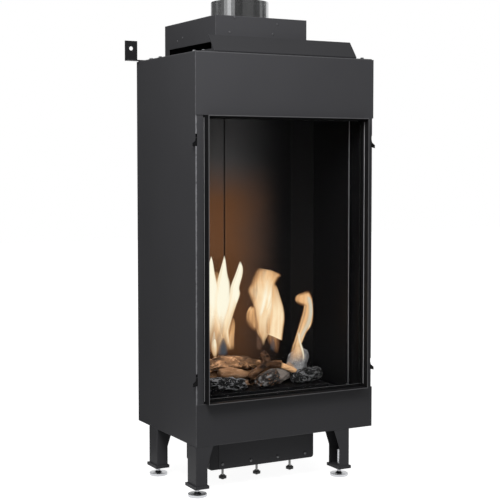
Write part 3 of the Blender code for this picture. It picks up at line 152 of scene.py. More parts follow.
class LogSettings(PropertyGroup):
    """Surfaces of the ceramic logs."""

    voxel: length_setting("Voxel", "Width of the faces that carry the bark", 0.0009)
    relief: level_setting("Relief", "Depth of all bark, as a multiple", 1.0)
    embers: count_setting("Embers", "Loose crumbs among the logs", 46)
    ember_size: length_setting("Ember size", "Width of a crumb", 0.0058)
    seed: IntProperty(name="Seed", description="Order of the crumbs", default=7)


class FlameSettings(PropertyGroup):
    """The flames, each a thin closed sheet of burning gas."""

    rows: count_setting("Rows", "Rings along a flame", 56, 4)
    sides: count_setting("Sides", "Points round a flame", 32, 6)
    depth: length_setting("Depth", "Most that a flame stands out from its own plane", 0.008)
    sway: length_setting("Sway", "How far a flame waves back and forth", 0.003)
    strength: level_setting("Strength", "Light that a flame gives", 1.0)
    hot: colour_setting("Hot", "Middle of a hot flame", (1.0, 0.95, 0.76))
    pale: colour_setting("Pale", "Body of a flame", (1.0, 0.80, 0.52))
    tan: colour_setting("Tan", "Edge of a flame", (0.80, 0.45, 0.20))
    ember: colour_setting("Brown", "Folds and smoke in a flame", (0.22, 0.10, 0.045))
    blue: colour_setting("Blue", "Foot of a flame", (0.055, 0.068, 0.085))


class FixingSettings(PropertyGroup):
    """Rivets, screws, bolts and threads."""

    rivet: length_setting("Rivet", "Radius of a rivet's head", 0.0027)
    screw: length_setting("Screw", "Radius of a screw's head", 0.0040)
    bolt: length_setting("Bolt", "Radius of a bolt's head", 0.0050)
    pitch: length_setting("Thread pitch", "Length of one turn of a thread", 0.0015)
    crest: length_setting("Thread crest", "Height of a thread over its stem", 0.00022)


class StageSettings(PropertyGroup):
    """Camera, lamps, floor and background."""

    camera: FloatVectorProperty(name="Camera", description="Place of the camera",
                                default=(-1.5140, -2.7467, 0.8187), subtype="TRANSLATION")
    yaw: FloatProperty(name="Yaw", description="Turn of the camera from the back wall to the right",
                       default=math.radians(28.601), subtype="ANGLE")
    pitch: FloatProperty(name="Pitch", description="How far the camera looks down",
                         default=math.radians(3.211), subtype="ANGLE")
    lens: FloatProperty(name="Lens", description="Focal length in millimetres", default=85.830, min=1.0)
    shift: FloatProperty(name="Shift", description="Shift of the lens, in frame widths", default=-0.04)
    key: level_setting("Key", "Power of the main lamp in watts", 32.0)
    fill_right: level_setting("Right fill", "Power of the weak lamp on the right in watts", 6.0)
    fill: level_setting("Fill", "Level of the soft light all round", 0.25)
    glow: level_setting("Glow", "Power of the fire's own light in watts", 0.85)
    floor: colour_setting("Floor", "Pale floor", (0.55, 0.55, 0.55))


class FireSettings(PropertyGroup):
    """All settings of the gas fire."""

    paint: PointerProperty(type=PaintSettings)
    metal: PointerProperty(type=MetalSettings)
    seal: PointerProperty(type=SealSettings)
    logs: PointerProperty(type=LogSettings)
    flames: PointerProperty(type=FlameSettings)
    fixings: PointerProperty(type=FixingSettings)
    stage: PointerProperty(type=StageSettings)


# Node helpers

def add(tree, kind, inputs=None, **settings):
    """A node with its settings, and each input either linked to a socket or given a value."""
    node = tree.nodes.new(kind)
    for name, value in settings.items():
        setattr(node, name, value)
    for key, value in (inputs or {}).items():
        if isinstance(value, bpy.types.NodeSocket):
            tree.links.new(value, node.inputs[key])
        else:
            node.inputs[key].default_value = value
    return node


def maths(tree, operation, *values):
    """One sum on numbers."""
    return add(tree, "ShaderNodeMath", dict(enumerate(values)), operation=operation).outputs[0]


def vectors(tree, operation, *values):
    """One sum on vectors."""
    return add(tree, "ShaderNodeVectorMath", dict(enumerate(values)), operation=operation).outputs[0]


def scaled(tree, colour, amount):
    """A colour or vector times a number."""
    return add(tree, "ShaderNodeVectorMath", {0: colour, 3: amount}, operation="SCALE").outputs[0]


def between(tree, amount, low, high):
    """A number between low and high."""
    return add(tree, "ShaderNodeMix", {0: amount, 2: low, 3: high}, data_type="FLOAT").outputs[0]


def mixed(tree, amount, first, second):
    """A colour between two."""
    return add(tree, "ShaderNodeMix", {0: amount, 6: first, 7: second}, data_type="RGBA").outputs[2]


def eased(tree, value, low, high, start=0.0, end=1.0):
    """A smooth step from start to end as value goes from low to high."""
    inputs = {0: value, 1: low, 2: high, 3: start, 4: end}
    return add(tree, "ShaderNodeMapRange", inputs, interpolation_type="SMOOTHSTEP").outputs[0]


def faded(tree, value, low, high):
    """A smooth step from one down to none as value goes from low to high."""
    return eased(tree, value, low, high, 1.0, 0.0)


def noisy(tree, place, scale, detail=2.0, roughness=0.5, distortion=0.0):
    """Soft noise from none to one."""
    inputs = {"Vector": place, "Scale": scale, "Detail": detail, "Roughness": roughness,
              "Distortion": distortion}
    return add(tree, "ShaderNodeTexNoise", inputs).outputs[0]


def place_of(tree):
    """Object coordinates."""
    return add(tree, "ShaderNodeTexCoord").outputs["Object"]


def axis_of(tree, index):
    """One of the three object coordinates."""
    return add(tree, "ShaderNodeSeparateXYZ", {0: place_of(tree)}).outputs[index]


def attribute(tree, name):
    """A number stored on the mesh."""
    return add(tree, "ShaderNodeAttribute", attribute_name=name).outputs["Fac"]


def opaque(colour):
    """A colour with full alpha, as a socket wants it."""
    return (*tuple(colour)[:3], 1.0)


SOCKETS = {"VALUE": "NodeSocketFloat", "VECTOR": "NodeSocketVector", "RGBA": "NodeSocketColor"}


def socket_kind(value):
    """The socket type that holds a value."""
    if isinstance(value, float):
        return SOCKETS["VALUE"]
    return SOCKETS["VECTOR"] if len(value) == 3 else SOCKETS["RGBA"]


# Shared shader groups

def powder_coat(tree, ins):
    """Baked paint: fine bumps, with slow shifts of tone and gloss over a panel."""
    place = place_of(tree)
    bumps = noisy(tree, place, maths(tree, "DIVIDE", 1.0, ins["Grain"]), 2.0)
    clouds = noisy(tree, place, 6.0, 2.0)
    tone = between(tree, clouds, 0.92, 1.08)
    rough = maths(tree, "ADD", ins["Roughness"], between(tree, clouds, -0.06, 0.06))
    return {"Colour": scaled(tree, ins["Colour"], tone), "Roughness": rough, "Height": bumps}


def edge_rub(tree, ins):
    """A mask along the edges of a box: there, two of the three distances to its faces are small."""
    place = place_of(tree)
    near = vectors(tree, "MINIMUM", vectors(tree, "SUBTRACT", place, ins["Low"]),
                   vectors(tree, "SUBTRACT", ins["High"], place))
    axes = add(tree, "ShaderNodeSeparateXYZ", {0: near}).outputs
    least = maths(tree, "MINIMUM", axes[0], axes[1])
    most = maths(tree, "MAXIMUM", axes[0], axes[1])
    middle = maths(tree, "MAXIMUM", least, maths(tree, "MINIMUM", most, axes[2]))
    reach = maths(tree, "MULTIPLY", ins["Width"], between(tree, noisy(tree, place, 130.0, 3.0), 0.2, 1.8))
    return {"Mask": faded(tree, maths(tree, "DIVIDE", middle, reach), 0.3, 1.0)}


def drawn_metal(tree, ins):
    """Drawn or brushed metal: lines along the vector's small side, and soft smears."""
    place = place_of(tree)
    lines = noisy(tree, vectors(tree, "MULTIPLY", place, ins["Stretch"]), 1.0, 3.0)
    smears = noisy(tree, place, 22.0, 3.0)
    tone = maths(tree, "MULTIPLY", between(tree, lines, 0.90, 1.10), between(tree, smears, 0.94, 1.04))
    rough = maths(tree, "ADD", ins["Roughness"], between(tree, smears, -0.07, 0.09))
    return {"Colour": scaled(tree, ins["Colour"], tone), "Roughness": rough, "Height": lines}


def cast_grain(tree, ins):
    """Die-cast metal or moulded plastic: a pebbled skin."""
    place = place_of(tree)
    pebbles = noisy(tree, place, maths(tree, "DIVIDE", 1.0, ins["Grain"]), 3.0, 0.6)
    tone = between(tree, pebbles, 0.88, 1.1)
    rough = maths(tree, "ADD", ins["Roughness"], between(tree, pebbles, -0.08, 0.08))
    return {"Colour": scaled(tree, ins["Colour"], tone), "Roughness": rough, "Height": pebbles}


def dust(tree, ins):
    """A mask of settled dust on faces that look up."""
    normal = add(tree, "ShaderNodeTexCoord").outputs["Normal"]
    up = add(tree, "ShaderNodeSeparateXYZ", {0: normal}).outputs[2]
    specks = noisy(tree, place_of(tree), 90.0, 4.0, 0.65)
    settled = maths(tree, "MULTIPLY", eased(tree, up, 0.6, 1.0), eased(tree, specks, 0.35, 0.75))
    return {"Mask": maths(tree, "MULTIPLY", settled, ins["Amount"])}


def fired_clay(tree, ins):
    """Painted ceramic: dark valleys, a body colour, pale ridges, specks, and wood laid bare at a cut."""
    place = place_of(tree)
    fine = noisy(tree, place, 520.0, 4.0, 0.62)
    soft = noisy(tree, place, 110.0, 3.0)
    level = maths(tree, "ADD", ins["Relief"], between(tree, soft, -0.22, 0.22))
    colour = mixed(tree, eased(tree, level, 0.10, 0.62), ins["Valley"], ins["Body"])
    crest = maths(tree, "ADD", level, between(tree, fine, -0.20, 0.20))
    ridge = eased(tree, crest, ins["Ridge Start"], maths(tree, "ADD", ins["Ridge Start"], 0.22))
    colour = mixed(tree, ridge, colour, ins["Ridge"])
    start = maths(tree, "SUBTRACT", 0.78, maths(tree, "MULTIPLY", ins["Speck Share"], 0.30))
    speck = eased(tree, noisy(tree, place, 190.0, 2.0), start, maths(tree, "ADD", start, 0.07))
    colour = mixed(tree, speck, colour, ins["Speck"])
    bare = scaled(tree, ins["Bare"], between(tree, fine, 0.7, 1.25))
    colour = mixed(tree, ins["Peel"], colour, bare)
    return {"Colour": scaled(tree, colour, between(tree, fine, 0.72, 1.25)),
            "Roughness": between(tree, ridge, 0.93, 0.78), "Height": fine}


GROUPS = {
    "Powder Coat": (powder_coat, {"Colour": (0.1, 0.1, 0.1, 1.0), "Roughness": 0.5, "Grain": 0.001}),
    "Edge Rub": (edge_rub, {"Low": (0.0, 0.0, 0.0), "High": (1.0, 1.0, 1.0), "Width": 0.001}),
    "Drawn Metal": (drawn_metal, {"Colour": (0.5, 0.5, 0.5, 1.0), "Roughness": 0.3,
                                  "Stretch": (1.0, 1.0, 1.0)}),
    "Cast Grain": (cast_grain, {"Colour": (0.5, 0.5, 0.5, 1.0), "Roughness": 0.5, "Grain": 0.001}),
    "Dust": (dust, {"Amount": 0.3}),
    "Fired Clay": (fired_clay, {"Relief": 0.5, "Peel": 0.0, "Valley": (0.01, 0.01, 0.01, 1.0),
                                "Body": (0.1, 0.1, 0.1, 1.0), "Ridge": (0.3, 0.3, 0.3, 1.0),
                                "Speck": (0.3, 0.1, 0.05, 1.0), "Bare": (0.6, 0.3, 0.1, 1.0),
                                "Ridge Start": 0.7, "Speck Share": 0.2}),
}


def shared(tree, name, inputs):
    """The outputs of a shared group, which is built when a material first asks for it."""
    group = bpy.data.node_groups.get(name)
    if group is None:
        build, defaults = GROUPS[name]
        group = bpy.data.node_groups.new(name, "ShaderNodeTree")
        for label, value in defaults.items():
            socket = group.interface.new_socket(label, in_out="INPUT", socket_type=socket_kind(value))
            socket.default_value = value
        ends = build(group, add(group, "NodeGroupInput").outputs)
        for label, end in ends.items():
            group.interface.new_socket(label, in_out="OUTPUT", socket_type=SOCKETS[end.type])
        add(group, "NodeGroupOutput", ends)
    return add(tree, "ShaderNodeGroup", inputs, node_tree=group).outputs


# Materials

# How much of the pale paint shows on the casing's rubbed edges and the liners', and how strong and how wide
# the painted highlight down the side panels' folded front corners is.
CASING_WEAR = 0.6
LINER_WEAR = 0.15
CORNER_HIGHLIGHT = 0.85
CORNER_HIGHLIGHT_REACH = 0.0034
OUT_OF_REACH = 1.0
# The enamel's grain beside the paint's, how far its tones wander, and how far along the wall the painted
# firelight reaches.
ENAMEL_GRAIN = 0.6
DRIFT = 0.03
FIRELIGHT_REACH = 0.9
# The heights over the firebox's foot between which the painted brown glow of the flames fades.
GLOW_FADE_LOW = 0.575
GLOW_FADE_HIGH = 0.71
# Depth of the lines in drawn metal, and of the bumps in cast metal as a share of their width.
DRAWN_DEPTH = 0.00001
GRAIN_DEPTH = 0.06
GRAIN_DUST = 0.15
PALE_DUST = (0.3, 0.3, 0.29, 1.0)


def blank_tree(owner):
    """The emptied node tree of a material or a world."""
    owner.use_nodes = True
    owner.node_tree.nodes.clear()
    return owner.node_tree


def surface(name, look, **constants):
    """A material of one Principled BSDF, from the sockets that look returns and plain constants."""
    material = bpy.data.materials.new(name)
    tree = blank_tree(material)
    parts = look(tree)
    height = parts.pop("Height", None)
    if height is not None:
        bump = add(tree, "ShaderNodeBump", {"Height": height, "Distance": parts.pop("Depth")})
        parts["Normal"] = bump.outputs[0]
    constants.update(parts)
    shader = add(tree, "ShaderNodeBsdfPrincipled", constants)
    add(tree, "ShaderNodeOutputMaterial", {"Surface": shader.outputs[0]})
    return material


def skin(outputs, depth, colour=None):
    """What a surface takes from a shared group, in the group's colour or another."""
    return {"Base Color": outputs["Colour"] if colour is None else colour,
            "Roughness": outputs["Roughness"], "Height": outputs["Height"], "Depth": depth}


def rubbed(tree, box, width, amount, colour, pale):
    """A colour that turns pale along the edges of a box."""
    rub = shared(tree, "Edge Rub", {"Low": tuple(box[0]), "High": tuple(box[1]), "Width": width})
    return mixed(tree, maths(tree, "MULTIPLY", rub["Mask"], amount), colour, opaque(pale))


def corner_highlighted(tree, node, paint, colour):
    """Paint with a painted highlight: a pale line down the one folded front corner of a side panel, where
    the fold catches the light.
    """
    low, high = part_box(node)
    near, beyond = Vector((low.x, low.y, -OUT_OF_REACH)), high + Vector((OUT_OF_REACH,) * 3)
    if low.x > 0.0:
        near.x, beyond.x = low.x - OUT_OF_REACH, high.x
    return rubbed(tree, (near, beyond), CORNER_HIGHLIGHT_REACH, CORNER_HIGHLIGHT, colour, paint.corner)


def painted(node, paint, tone, dusty):
    """Casing paint on one sheet, with rubbed edges, dust, and painted highlights down the side panels' front
    corners and on the window frame's front edge; the studs are bare.
    """
    def look(tree):
        coat = shared(tree, "Powder Coat", {"Colour": opaque(Vector(paint.casing) * tone),
                                            "Roughness": paint.casing_roughness, "Grain": paint.grain})
        colour = rubbed(tree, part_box(node), paint.rub_width, CASING_WEAR, coat["Colour"], paint.rubbed)
        # The side panels' folded front corners get a painted highlight.
        if node.startswith("side_panel"):
            colour = corner_highlighted(tree, node, paint, colour)
        # Painted highlight: the window frame's front edge is painted pale where it catches the light.
        if node == "window_frame":
            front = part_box(node)[0].y
            bare = faded(tree, axis_of(tree, 1), front + paint.bead, front + 2.0 * paint.bead)
            colour = mixed(tree, bare, colour, opaque(paint.rubbed))
        if node == "control_box":
            tray_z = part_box("control_box_cover")[0].z
            bare = faded(tree, axis_of(tree, 2), tray_z - 2.0 * paint.bead, tray_z - paint.bead)
            colour = mixed(tree, bare, colour, opaque(paint.stud))
        settled = shared(tree, "Dust", {"Amount": dusty})["Mask"]
        return skin(coat, paint.grain_height, mixed(tree, settled, colour, opaque(paint.rubbed)))
    return surface(node + "_paint", look, **{"Specular IOR Level": 0.1})


def enamelled(node, paint, firelight_share, sheen_share):
    """Black enamel in painted firelight: painted dark away from the flames as their light falls off, lighter
    near them, and brown low down beside them as their glow.
    """
    foot_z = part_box("firebox_shell")[0].z
    near_x, far_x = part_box("liner_back_left")[1].x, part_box("liner_back_right")[1].x

    def look(tree):
        coat = shared(tree, "Powder Coat", {
            "Colour": opaque(paint.liner), "Roughness": paint.liner_roughness,
            "Grain": paint.grain * ENAMEL_GRAIN})
        drift = between(tree, noisy(tree, place_of(tree), 9.0, 4.0), -DRIFT, DRIFT)
        x, z = (maths(tree, "ADD", axis_of(tree, index), drift) for index in (0, 2))
        # Painted light: lighter near the flames, dark away from them as their light falls off.
        clear = maths(tree, "MULTIPLY", faded(tree, x, near_x, far_x * FIRELIGHT_REACH), firelight_share)
        colour = mixed(tree, clear, opaque(paint.soot), opaque(paint.haze))
        # Painted glow of the flames: brown low down beside them.
        glow_fade = faded(tree, z, foot_z + GLOW_FADE_LOW, foot_z + GLOW_FADE_HIGH)
        colour = mixed(tree, maths(tree, "MULTIPLY", glow_fade, clear), colour, opaque(paint.scorch))
        colour = mixed(tree, sheen_share, colour, coat["Colour"])
        worn = rubbed(tree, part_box(node), paint.rub_width, LINER_WEAR, colour, paint.rubbed)
        return skin(coat, paint.grain_height, worn)
    return surface(node + "_enamel", look, **{"Specular IOR Level": 0.06})


def bright(node, colour, roughness, stretch):
    """Bare drawn metal."""
    def look(tree):
        return skin(shared(tree, "Drawn Metal", {"Colour": opaque(colour), "Roughness": roughness,
                                                 "Stretch": stretch}), DRAWN_DEPTH)
    return surface(node + "_metal", look, Metallic=1.0)


def grainy(node, colour, roughness, grain, metallic):
    """Cast alloy or moulded plastic."""
    def look(tree):
        cast = shared(tree, "Cast Grain", {"Colour": opaque(colour), "Roughness": roughness, "Grain": grain})
        settled = shared(tree, "Dust", {"Amount": GRAIN_DUST})["Mask"]
        return skin(cast, grain * GRAIN_DEPTH, mixed(tree, settled, cast["Colour"], PALE_DUST))
    return surface(node + "_grain", look, Metallic=metallic)


def dress(node, material):
    """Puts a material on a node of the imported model."""
    NODES[node].data.materials.clear()
    NODES[node].data.materials.append(material)


def nodes_in(slot):
    """The nodes that share a slot of the record."""
    return [node for node in NODES if SLOT_OF[node] == slot]


# Mesh helpers

SHARP_ANGLE = math.radians(40.0)


def linked(name, data):
    """An object at the origin, in the scene."""
    item = bpy.data.objects.new(name, data)
    bpy.context.scene.collection.objects.link(item)
    return item


def plain_mesh(name, points, edges=(), faces=()):
    """A mesh from places and from the numbers that join them."""
    mesh = bpy.data.meshes.new(name)
    mesh.from_pydata(points, edges, faces)
    return mesh


def finished(work, mesh):
    """The mesh with an edited shape written to it."""
    work.to_mesh(mesh)
    work.free()
    return mesh


def store(mesh, name, values):
    """Keeps a number on each point of a mesh for its material."""
    mesh.attributes.new(name, "FLOAT", "POINT").data.foreach_set("value", values.astype(np.float32))


def new_piece(name, mesh, body, replaced=(), material=None):
    """A finished piece: a mesh at the origin that rides on a body."""
    piece = linked(name, mesh)
    if material is not None:
        mesh.materials.clear()
        mesh.materials.append(material)
    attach(piece, body)
    if replaced:
        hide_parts(*replaced)
    return piece


def evaluated(base):
    """The plain mesh of an object with its modifiers, which is removed with them."""
    graph = bpy.context.evaluated_depsgraph_get()
    mesh = bpy.data.meshes.new_from_object(base.evaluated_get(graph), depsgraph=graph)
    bpy.data.objects.remove(base)
    return mesh


def grown(tree, inputs, seed=None):
    """The mesh that a Geometry Nodes tree makes, with its inputs set by name before it is evaluated."""
    base = linked("base", seed or bpy.data.meshes.new("base"))
    modifier = base.modifiers.new("Grow", "NODES")
    modifier.node_group = tree
    for item in tree.interface.items_tree:
        if item.in_out == "INPUT" and item.name in inputs:
            modifier[item.identifier] = inputs[item.name]
    return evaluated(base)


def geometry_tree(name, inputs):
    """An empty Geometry Nodes tree with named inputs, given as name to socket type and default."""
    tree = bpy.data.node_groups.new(name, "GeometryNodeTree")
    tree.interface.new_socket("Geometry", in_out="INPUT", socket_type="NodeSocketGeometry")
    for label, (kind, value) in inputs.items():
        socket = tree.interface.new_socket(label, in_out="INPUT", socket_type="NodeSocket" + kind)
        if value is not None:
            socket.default_value = value
    tree.interface.new_socket("Geometry", in_out="OUTPUT", socket_type="NodeSocketGeometry")
    return tree, add(tree, "NodeGroupInput").outputs


def close_tree(tree, geometry, material):
    """Ends a tree in Realize Instances and Set Material."""
    real = add(tree, "GeometryNodeRealizeInstances", {0: geometry}).outputs[0]
    coated = add(tree, "GeometryNodeSetMaterial", {"Geometry": real, "Material": material}).outputs[0]
    add(tree, "NodeGroupOutput", {0: coated})


def tube(tree, path, sides, radius):
    """A tube along a path, with its ends closed."""
    ring = add(tree, "GeometryNodeCurvePrimitiveCircle", {"Resolution": sides, "Radius": radius}).outputs[0]
    return add(tree, "GeometryNodeCurveToMesh", {0: path, 1: ring, "Fill Caps": True}).outputs[0]


def copies(tree, points, item, rotation, scale):
    """An object set on each point."""
    whole = add(tree, "GeometryNodeObjectInfo", {0: item, "As Instance": True}).outputs["Geometry"]
    return add(tree, "GeometryNodeInstanceOnPoints", {
        "Points": points, "Instance": whole, "Rotation": rotation, "Scale": scale}).outputs[0]


def smooth(mesh):
    """Shades a mesh smooth but for its sharp edges."""
    mesh.shade_smooth()
    mesh.set_sharp_from_angle(angle=SHARP_ANGLE)


def turned(name, profile, sides, recess_share=0.0):
    """A closed head turned from a profile of radius and height; its last two rings may form a cross."""
    work = bmesh.new()
    rings = []
    for index, (radius, height) in enumerate(profile):
        crossed = recess_share and index >= len(profile) - 2
        ring = []
        for side in range(sides):
            angle = math.tau * side / sides
            arm = recess_share + (1.0 - recess_share) * abs(math.cos(2.0 * angle)) ** 4 if crossed else 1.0
            ring.append(work.verts.new((radius * arm * math.cos(angle), radius * arm * math.sin(angle),
                                        height)))
        rings.append(ring)
    for lower, upper in zip(rings, rings[1:]):
        for side in range(sides):
            after = (side + 1) % sides
            work.faces.new((lower[side], lower[after], upper[after], upper[side]))
    work.faces.new(list(reversed(rings[0])))
    work.faces.new(rings[-1])
    mesh = finished(work, bpy.data.meshes.new(name))
    smooth(mesh)
    return linked(name, mesh)


# Casing, firebox and metals

# How light each sheet is beside the plain paint, and how much dust lies on it. The tones were matched to how
# bright each sheet looks, so they partly paint light and shade: the upper front and the hood lighter and the
# lower front darker as light falls from above, and the window frame and the hooks near black for the shade
# in the window's recess and in the hooks' slots.
CASING_TONES = {
    "window_frame": 0.22, "hood": 1.12, "wall_bracket_left": 0.38, "front_deflector": 0.62,
    "control_box": 0.75, "control_box_cover": 1.05, "side_panel_left": 1.1, "side_panel_right": 1.1,
    "back_panel": 0.95, "bottom_plate": 0.7, "front_panel_upper": 1.12, "front_panel_lower": 0.92,
    "trim_hook_upper_left": 0.15, "trim_hook_upper_right": 0.15, "trim_hook_lower_left": 0.15,
    "trim_hook_lower_right": 0.15,
}
DUSTY = {"top_plate": 0.5, "hood": 0.35, "front_deflector": 0.35, "wall_bracket_left": 0.3,
         "wall_bracket_right": 0.3}
PLAIN_TONE = 1.0
PLAIN_DUST = 0.05
# How much painted firelight each sheet takes beside the flames, and how much of its first enamel still
# shows.
FIRELIGHT_SHARES = {"liner_back_left": (1.0, 0.0), "liner_back_right": (1.0, 0.0), "liner_left": (1.0, 0.0),
            "liner_right": (0.0, 0.08), "firebox_shell": (0.0, 0.0), "floor_grille": (0.0, 0.5),
            "burner_tray": (0.0, 0.3)}
# How finely each metal part is lined along each axis, and how matt it is.
DRAWN = {
    "flue_pipe_inner": ((6.0, 6.0, 500.0), 0.26),
    "flue_collar_outer": ((6.0, 6.0, 500.0), 0.24),
    "relief_flap": ((700.0, 12.0, 12.0), 0.35),
    "flue_restrictor": ((12.0, 700.0, 12.0), 0.35),
    "window_catch": ((12.0, 12.0, 600.0), 0.28),
    "ignition_electrode": ((60.0, 60.0, 600.0), 0.3),
    "gas_inlet_pipe": ((500.0, 40.0, 500.0), 0.25),
    "burner_supply_pipe": ((300.0, 300.0, 60.0), 0.3),
    "pilot_burner": ((60.0, 60.0, 500.0), 0.32),
    "flame_sensor": ((60.0, 60.0, 500.0), 0.3),
}
PLAIN_STRETCH = (30.0, 30.0, 500.0)
PLAIN_ROUGHNESS = 0.3
FLUE_SHINE = 1.22
# How matt a cast or moulded skin is, how wide its bumps are, and how metallic it is.
ALLOY_SKIN = (0.45, 0.0009, 1.0)
PLASTIC_SKIN = (0.4, 0.0006, 0.0)
THIN_PANE_IOR = 1.05


class GASFIRE_OT_paint_casing(Operator):
    """Paint every sheet of the casing, its legs and its brackets"""

    bl_idname = "gas_fire.paint_casing"
    bl_label = "Paint Casing"

    def execute(self, context):
        paint = context.scene.gas_fire.paint
        for node in nodes_in("casing_steel"):
            tone, dusty = CASING_TONES.get(node, PLAIN_TONE), DUSTY.get(node, PLAIN_DUST)
            dress(node, painted(node, paint, tone, dusty))
        return {"FINISHED"}


class GASFIRE_OT_line_firebox(Operator):
    """Enamel the firebox, its liners, grille and burner"""

    bl_idname = "gas_fire.line_firebox"
    bl_label = "Line Firebox"

    def execute(self, context):
        paint = context.scene.gas_fire.paint
        for node in nodes_in("liner_black"):
            dress(node, enamelled(node, paint, *FIRELIGHT_SHARES[node]))
        return {"FINISHED"}


class GASFIRE_OT_finish_metals(Operator):
    """Finish the flue, feet, valve, pipes, nuts and knobs"""

    bl_idname = "gas_fire.finish_metals"
    bl_label = "Finish Metals"

    def execute(self, context):
        metal = context.scene.gas_fire.metal
        colours = {"flue_steel": Vector(metal.flue) * FLUE_SHINE, "plated_steel": metal.plated,
                   "brass": metal.brass}
        for slot, colour in colours.items():
            for node in nodes_in(slot):
                stretch, roughness = DRAWN.get(node, (PLAIN_STRETCH, PLAIN_ROUGHNESS))
                dress(node, bright(node, colour, roughness, stretch))
        for node in nodes_in("valve_alloy"):
            dress(node, grainy(node, metal.cast, *ALLOY_SKIN))
        for node in nodes_in("black_plastic"):
            dress(node, grainy(node, metal.plastic, *PLASTIC_SKIN))
        return {"FINISHED"}


class GASFIRE_OT_glaze_window(Operator):
    """Glaze the window with clear, thin-coated ceramic glass"""

    bl_idname = "gas_fire.glaze_window"
    bl_label = "Glaze Window"

    def execute(self, context):
        metal = context.scene.gas_fire.metal
        material = bpy.data.materials.new("window_glass_clear")
        tree = blank_tree(material)
        haze = noisy(tree, place_of(tree), 35.0, 4.0, 0.6)
        pane = add(tree, "ShaderNodeBsdfPrincipled", {
            "Base Color": opaque(metal.glass), "Roughness": eased(tree, haze, 0.4, 0.9, 0.0, 0.03),
            "IOR": THIN_PANE_IOR, "Transmission Weight": 1.0})
        clear = add(tree, "ShaderNodeBsdfTransparent", {"Color": opaque(metal.glass)})
        shadow = add(tree, "ShaderNodeLightPath").outputs["Is Shadow Ray"]
        mix = add(tree, "ShaderNodeMixShader", {0: shadow, 1: pane.outputs[0], 2: clear.outputs[0]})
        add(tree, "ShaderNodeOutputMaterial", {"Surface": mix.outputs[0]})
        dress("window_glass", material)
        return {"FINISHED"}


# Rope seal

ROPE_CORNER = 4.0
CORNER_STEPS = 6
STRAND_SIDES = 6
POINTS_PER_TWIST = 8
YARN_TONE = 0.3
YARN_DEPTH = 0.0001


def rope_tree(strands):
    """A tree that twists strands round a path."""
    tree, ins = geometry_tree("Rope", {
        "Radius": ("Float", 0.0014), "Throw": ("Float", 0.0014), "Twist": ("Float", 100.0),
        "Points": ("Int", 1000), "Material": ("Material", None)})
    path = add(tree, "GeometryNodeMeshToCurve", {0: ins["Geometry"]}).outputs[0]
    path = add(tree, "GeometryNodeResampleCurve", {"Curve": path, "Count": ins["Points"]}).outputs[0]
    across = add(tree, "GeometryNodeInputNormal").outputs[0]
    along = add(tree, "GeometryNodeInputTangent").outputs[0]
    beside = vectors(tree, "CROSS_PRODUCT", along, across)
    share = add(tree, "GeometryNodeSplineParameter").outputs[0]
    turn = maths(tree, "MULTIPLY", share, ins["Twist"])
    rope = add(tree, "GeometryNodeJoinGeometry")
    for strand in range(strands):
        angle = maths(tree, "ADD", turn, math.tau * strand / strands)
        parts = [scaled(tree, side, maths(tree, "MULTIPLY", maths(tree, wave, angle), ins["Throw"]))
                 for side, wave in ((across, "COSINE"), (beside, "SINE"))]
        offset = vectors(tree, "ADD", *parts)
        moved = add(tree, "GeometryNodeSetPosition", {"Geometry": path, "Offset": offset}).outputs[0]
        tree.links.new(tube(tree, moved, STRAND_SIDES, ins["Radius"]), rope.inputs[0])
    close_tree(tree, rope.outputs[0], ins["Material"])
    return tree


class GASFIRE_OT_braid_seal(Operator):
    """Twist the rope seal behind the window frame"""

    bl_idname = "gas_fire.braid_seal"
    bl_label = "Braid Seal"

    def execute(self, context):
        seal = context.scene.gas_fire.seal
        low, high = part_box("window_seal")
        radius = (high.y - low.y) / 2
        strand = radius * seal.strand_share
        corner = radius * ROPE_CORNER
        points = []
        for x, z, start in ((high.x, high.z, 0), (low.x, high.z, 1), (low.x, low.z, 2), (high.x, low.z, 3)):
            centre_x = x - math.copysign(radius + corner, x)
            centre_z = z - radius - corner if z == high.z else z + radius + corner
            for step in range(CORNER_STEPS + 1):
                angle = math.radians(90.0) * (start + step / CORNER_STEPS)
                points.append((centre_x + corner * math.cos(angle), low.y + radius,
                               centre_z + corner * math.sin(angle)))
        path = plain_mesh("seal_path", points, [(i, (i + 1) % len(points)) for i in range(len(points))])
        length = 2.0 * ((high.x - low.x) + (high.z - low.z)) - 8.0 * radius
        turns = round(length / seal.pitch)

        def look(tree):
            yarn = opaque(Vector(SLOT_COLOUR["seal_rope"]) * YARN_TONE)
            return skin(shared(tree, "Cast Grain", {"Colour": yarn, "Roughness": 0.9, "Grain": 0.0004}),
                        YARN_DEPTH)
        fibre = surface("seal_fibre", look, **{"Specular IOR Level": 0.05})
        mesh = grown(rope_tree(seal.strands), {
            "Radius": strand, "Throw": radius - strand, "Twist": math.tau * turns,
            "Points": turns * POINTS_PER_TWIST, "Material": fibre}, path)
        smooth(mesh)
        new_piece("window_rope_seal", mesh, "window", ("window_seal",))
        return {"FINISHED"}


# Rolled edges, painted pale as highlights

# Where the painted highlights lie on the frame, the liner and the grille, each drawn as a thin bead.
BLADE_INSET = 0.00475
BLADE_SHEET = 0.0015
BLADE_ROOT = 0.0015
SEAM_FORWARD = 0.005
HEM_INSET = 0.0023
FLANGE_REACH = 0.0048
SLOT_FAR_EDGE = 0.0103
SLOT_NEAR_X = 0.025
SLOT_FAR_X = 0.162
BEAD_SIDES = 8


def bead_tree():
    """A tree that rolls a round bead along each edge of a mesh."""
    tree, ins = geometry_tree("Bead", {"Radius": ("Float", 0.0005), "Material": ("Material", None)})
    path = add(tree, "GeometryNodeMeshToCurve", {0: ins["Geometry"]}).outputs[0]
    close_tree(tree, tube(tree, path, BEAD_SIDES, ins["Radius"]), ins["Material"])
    return tree


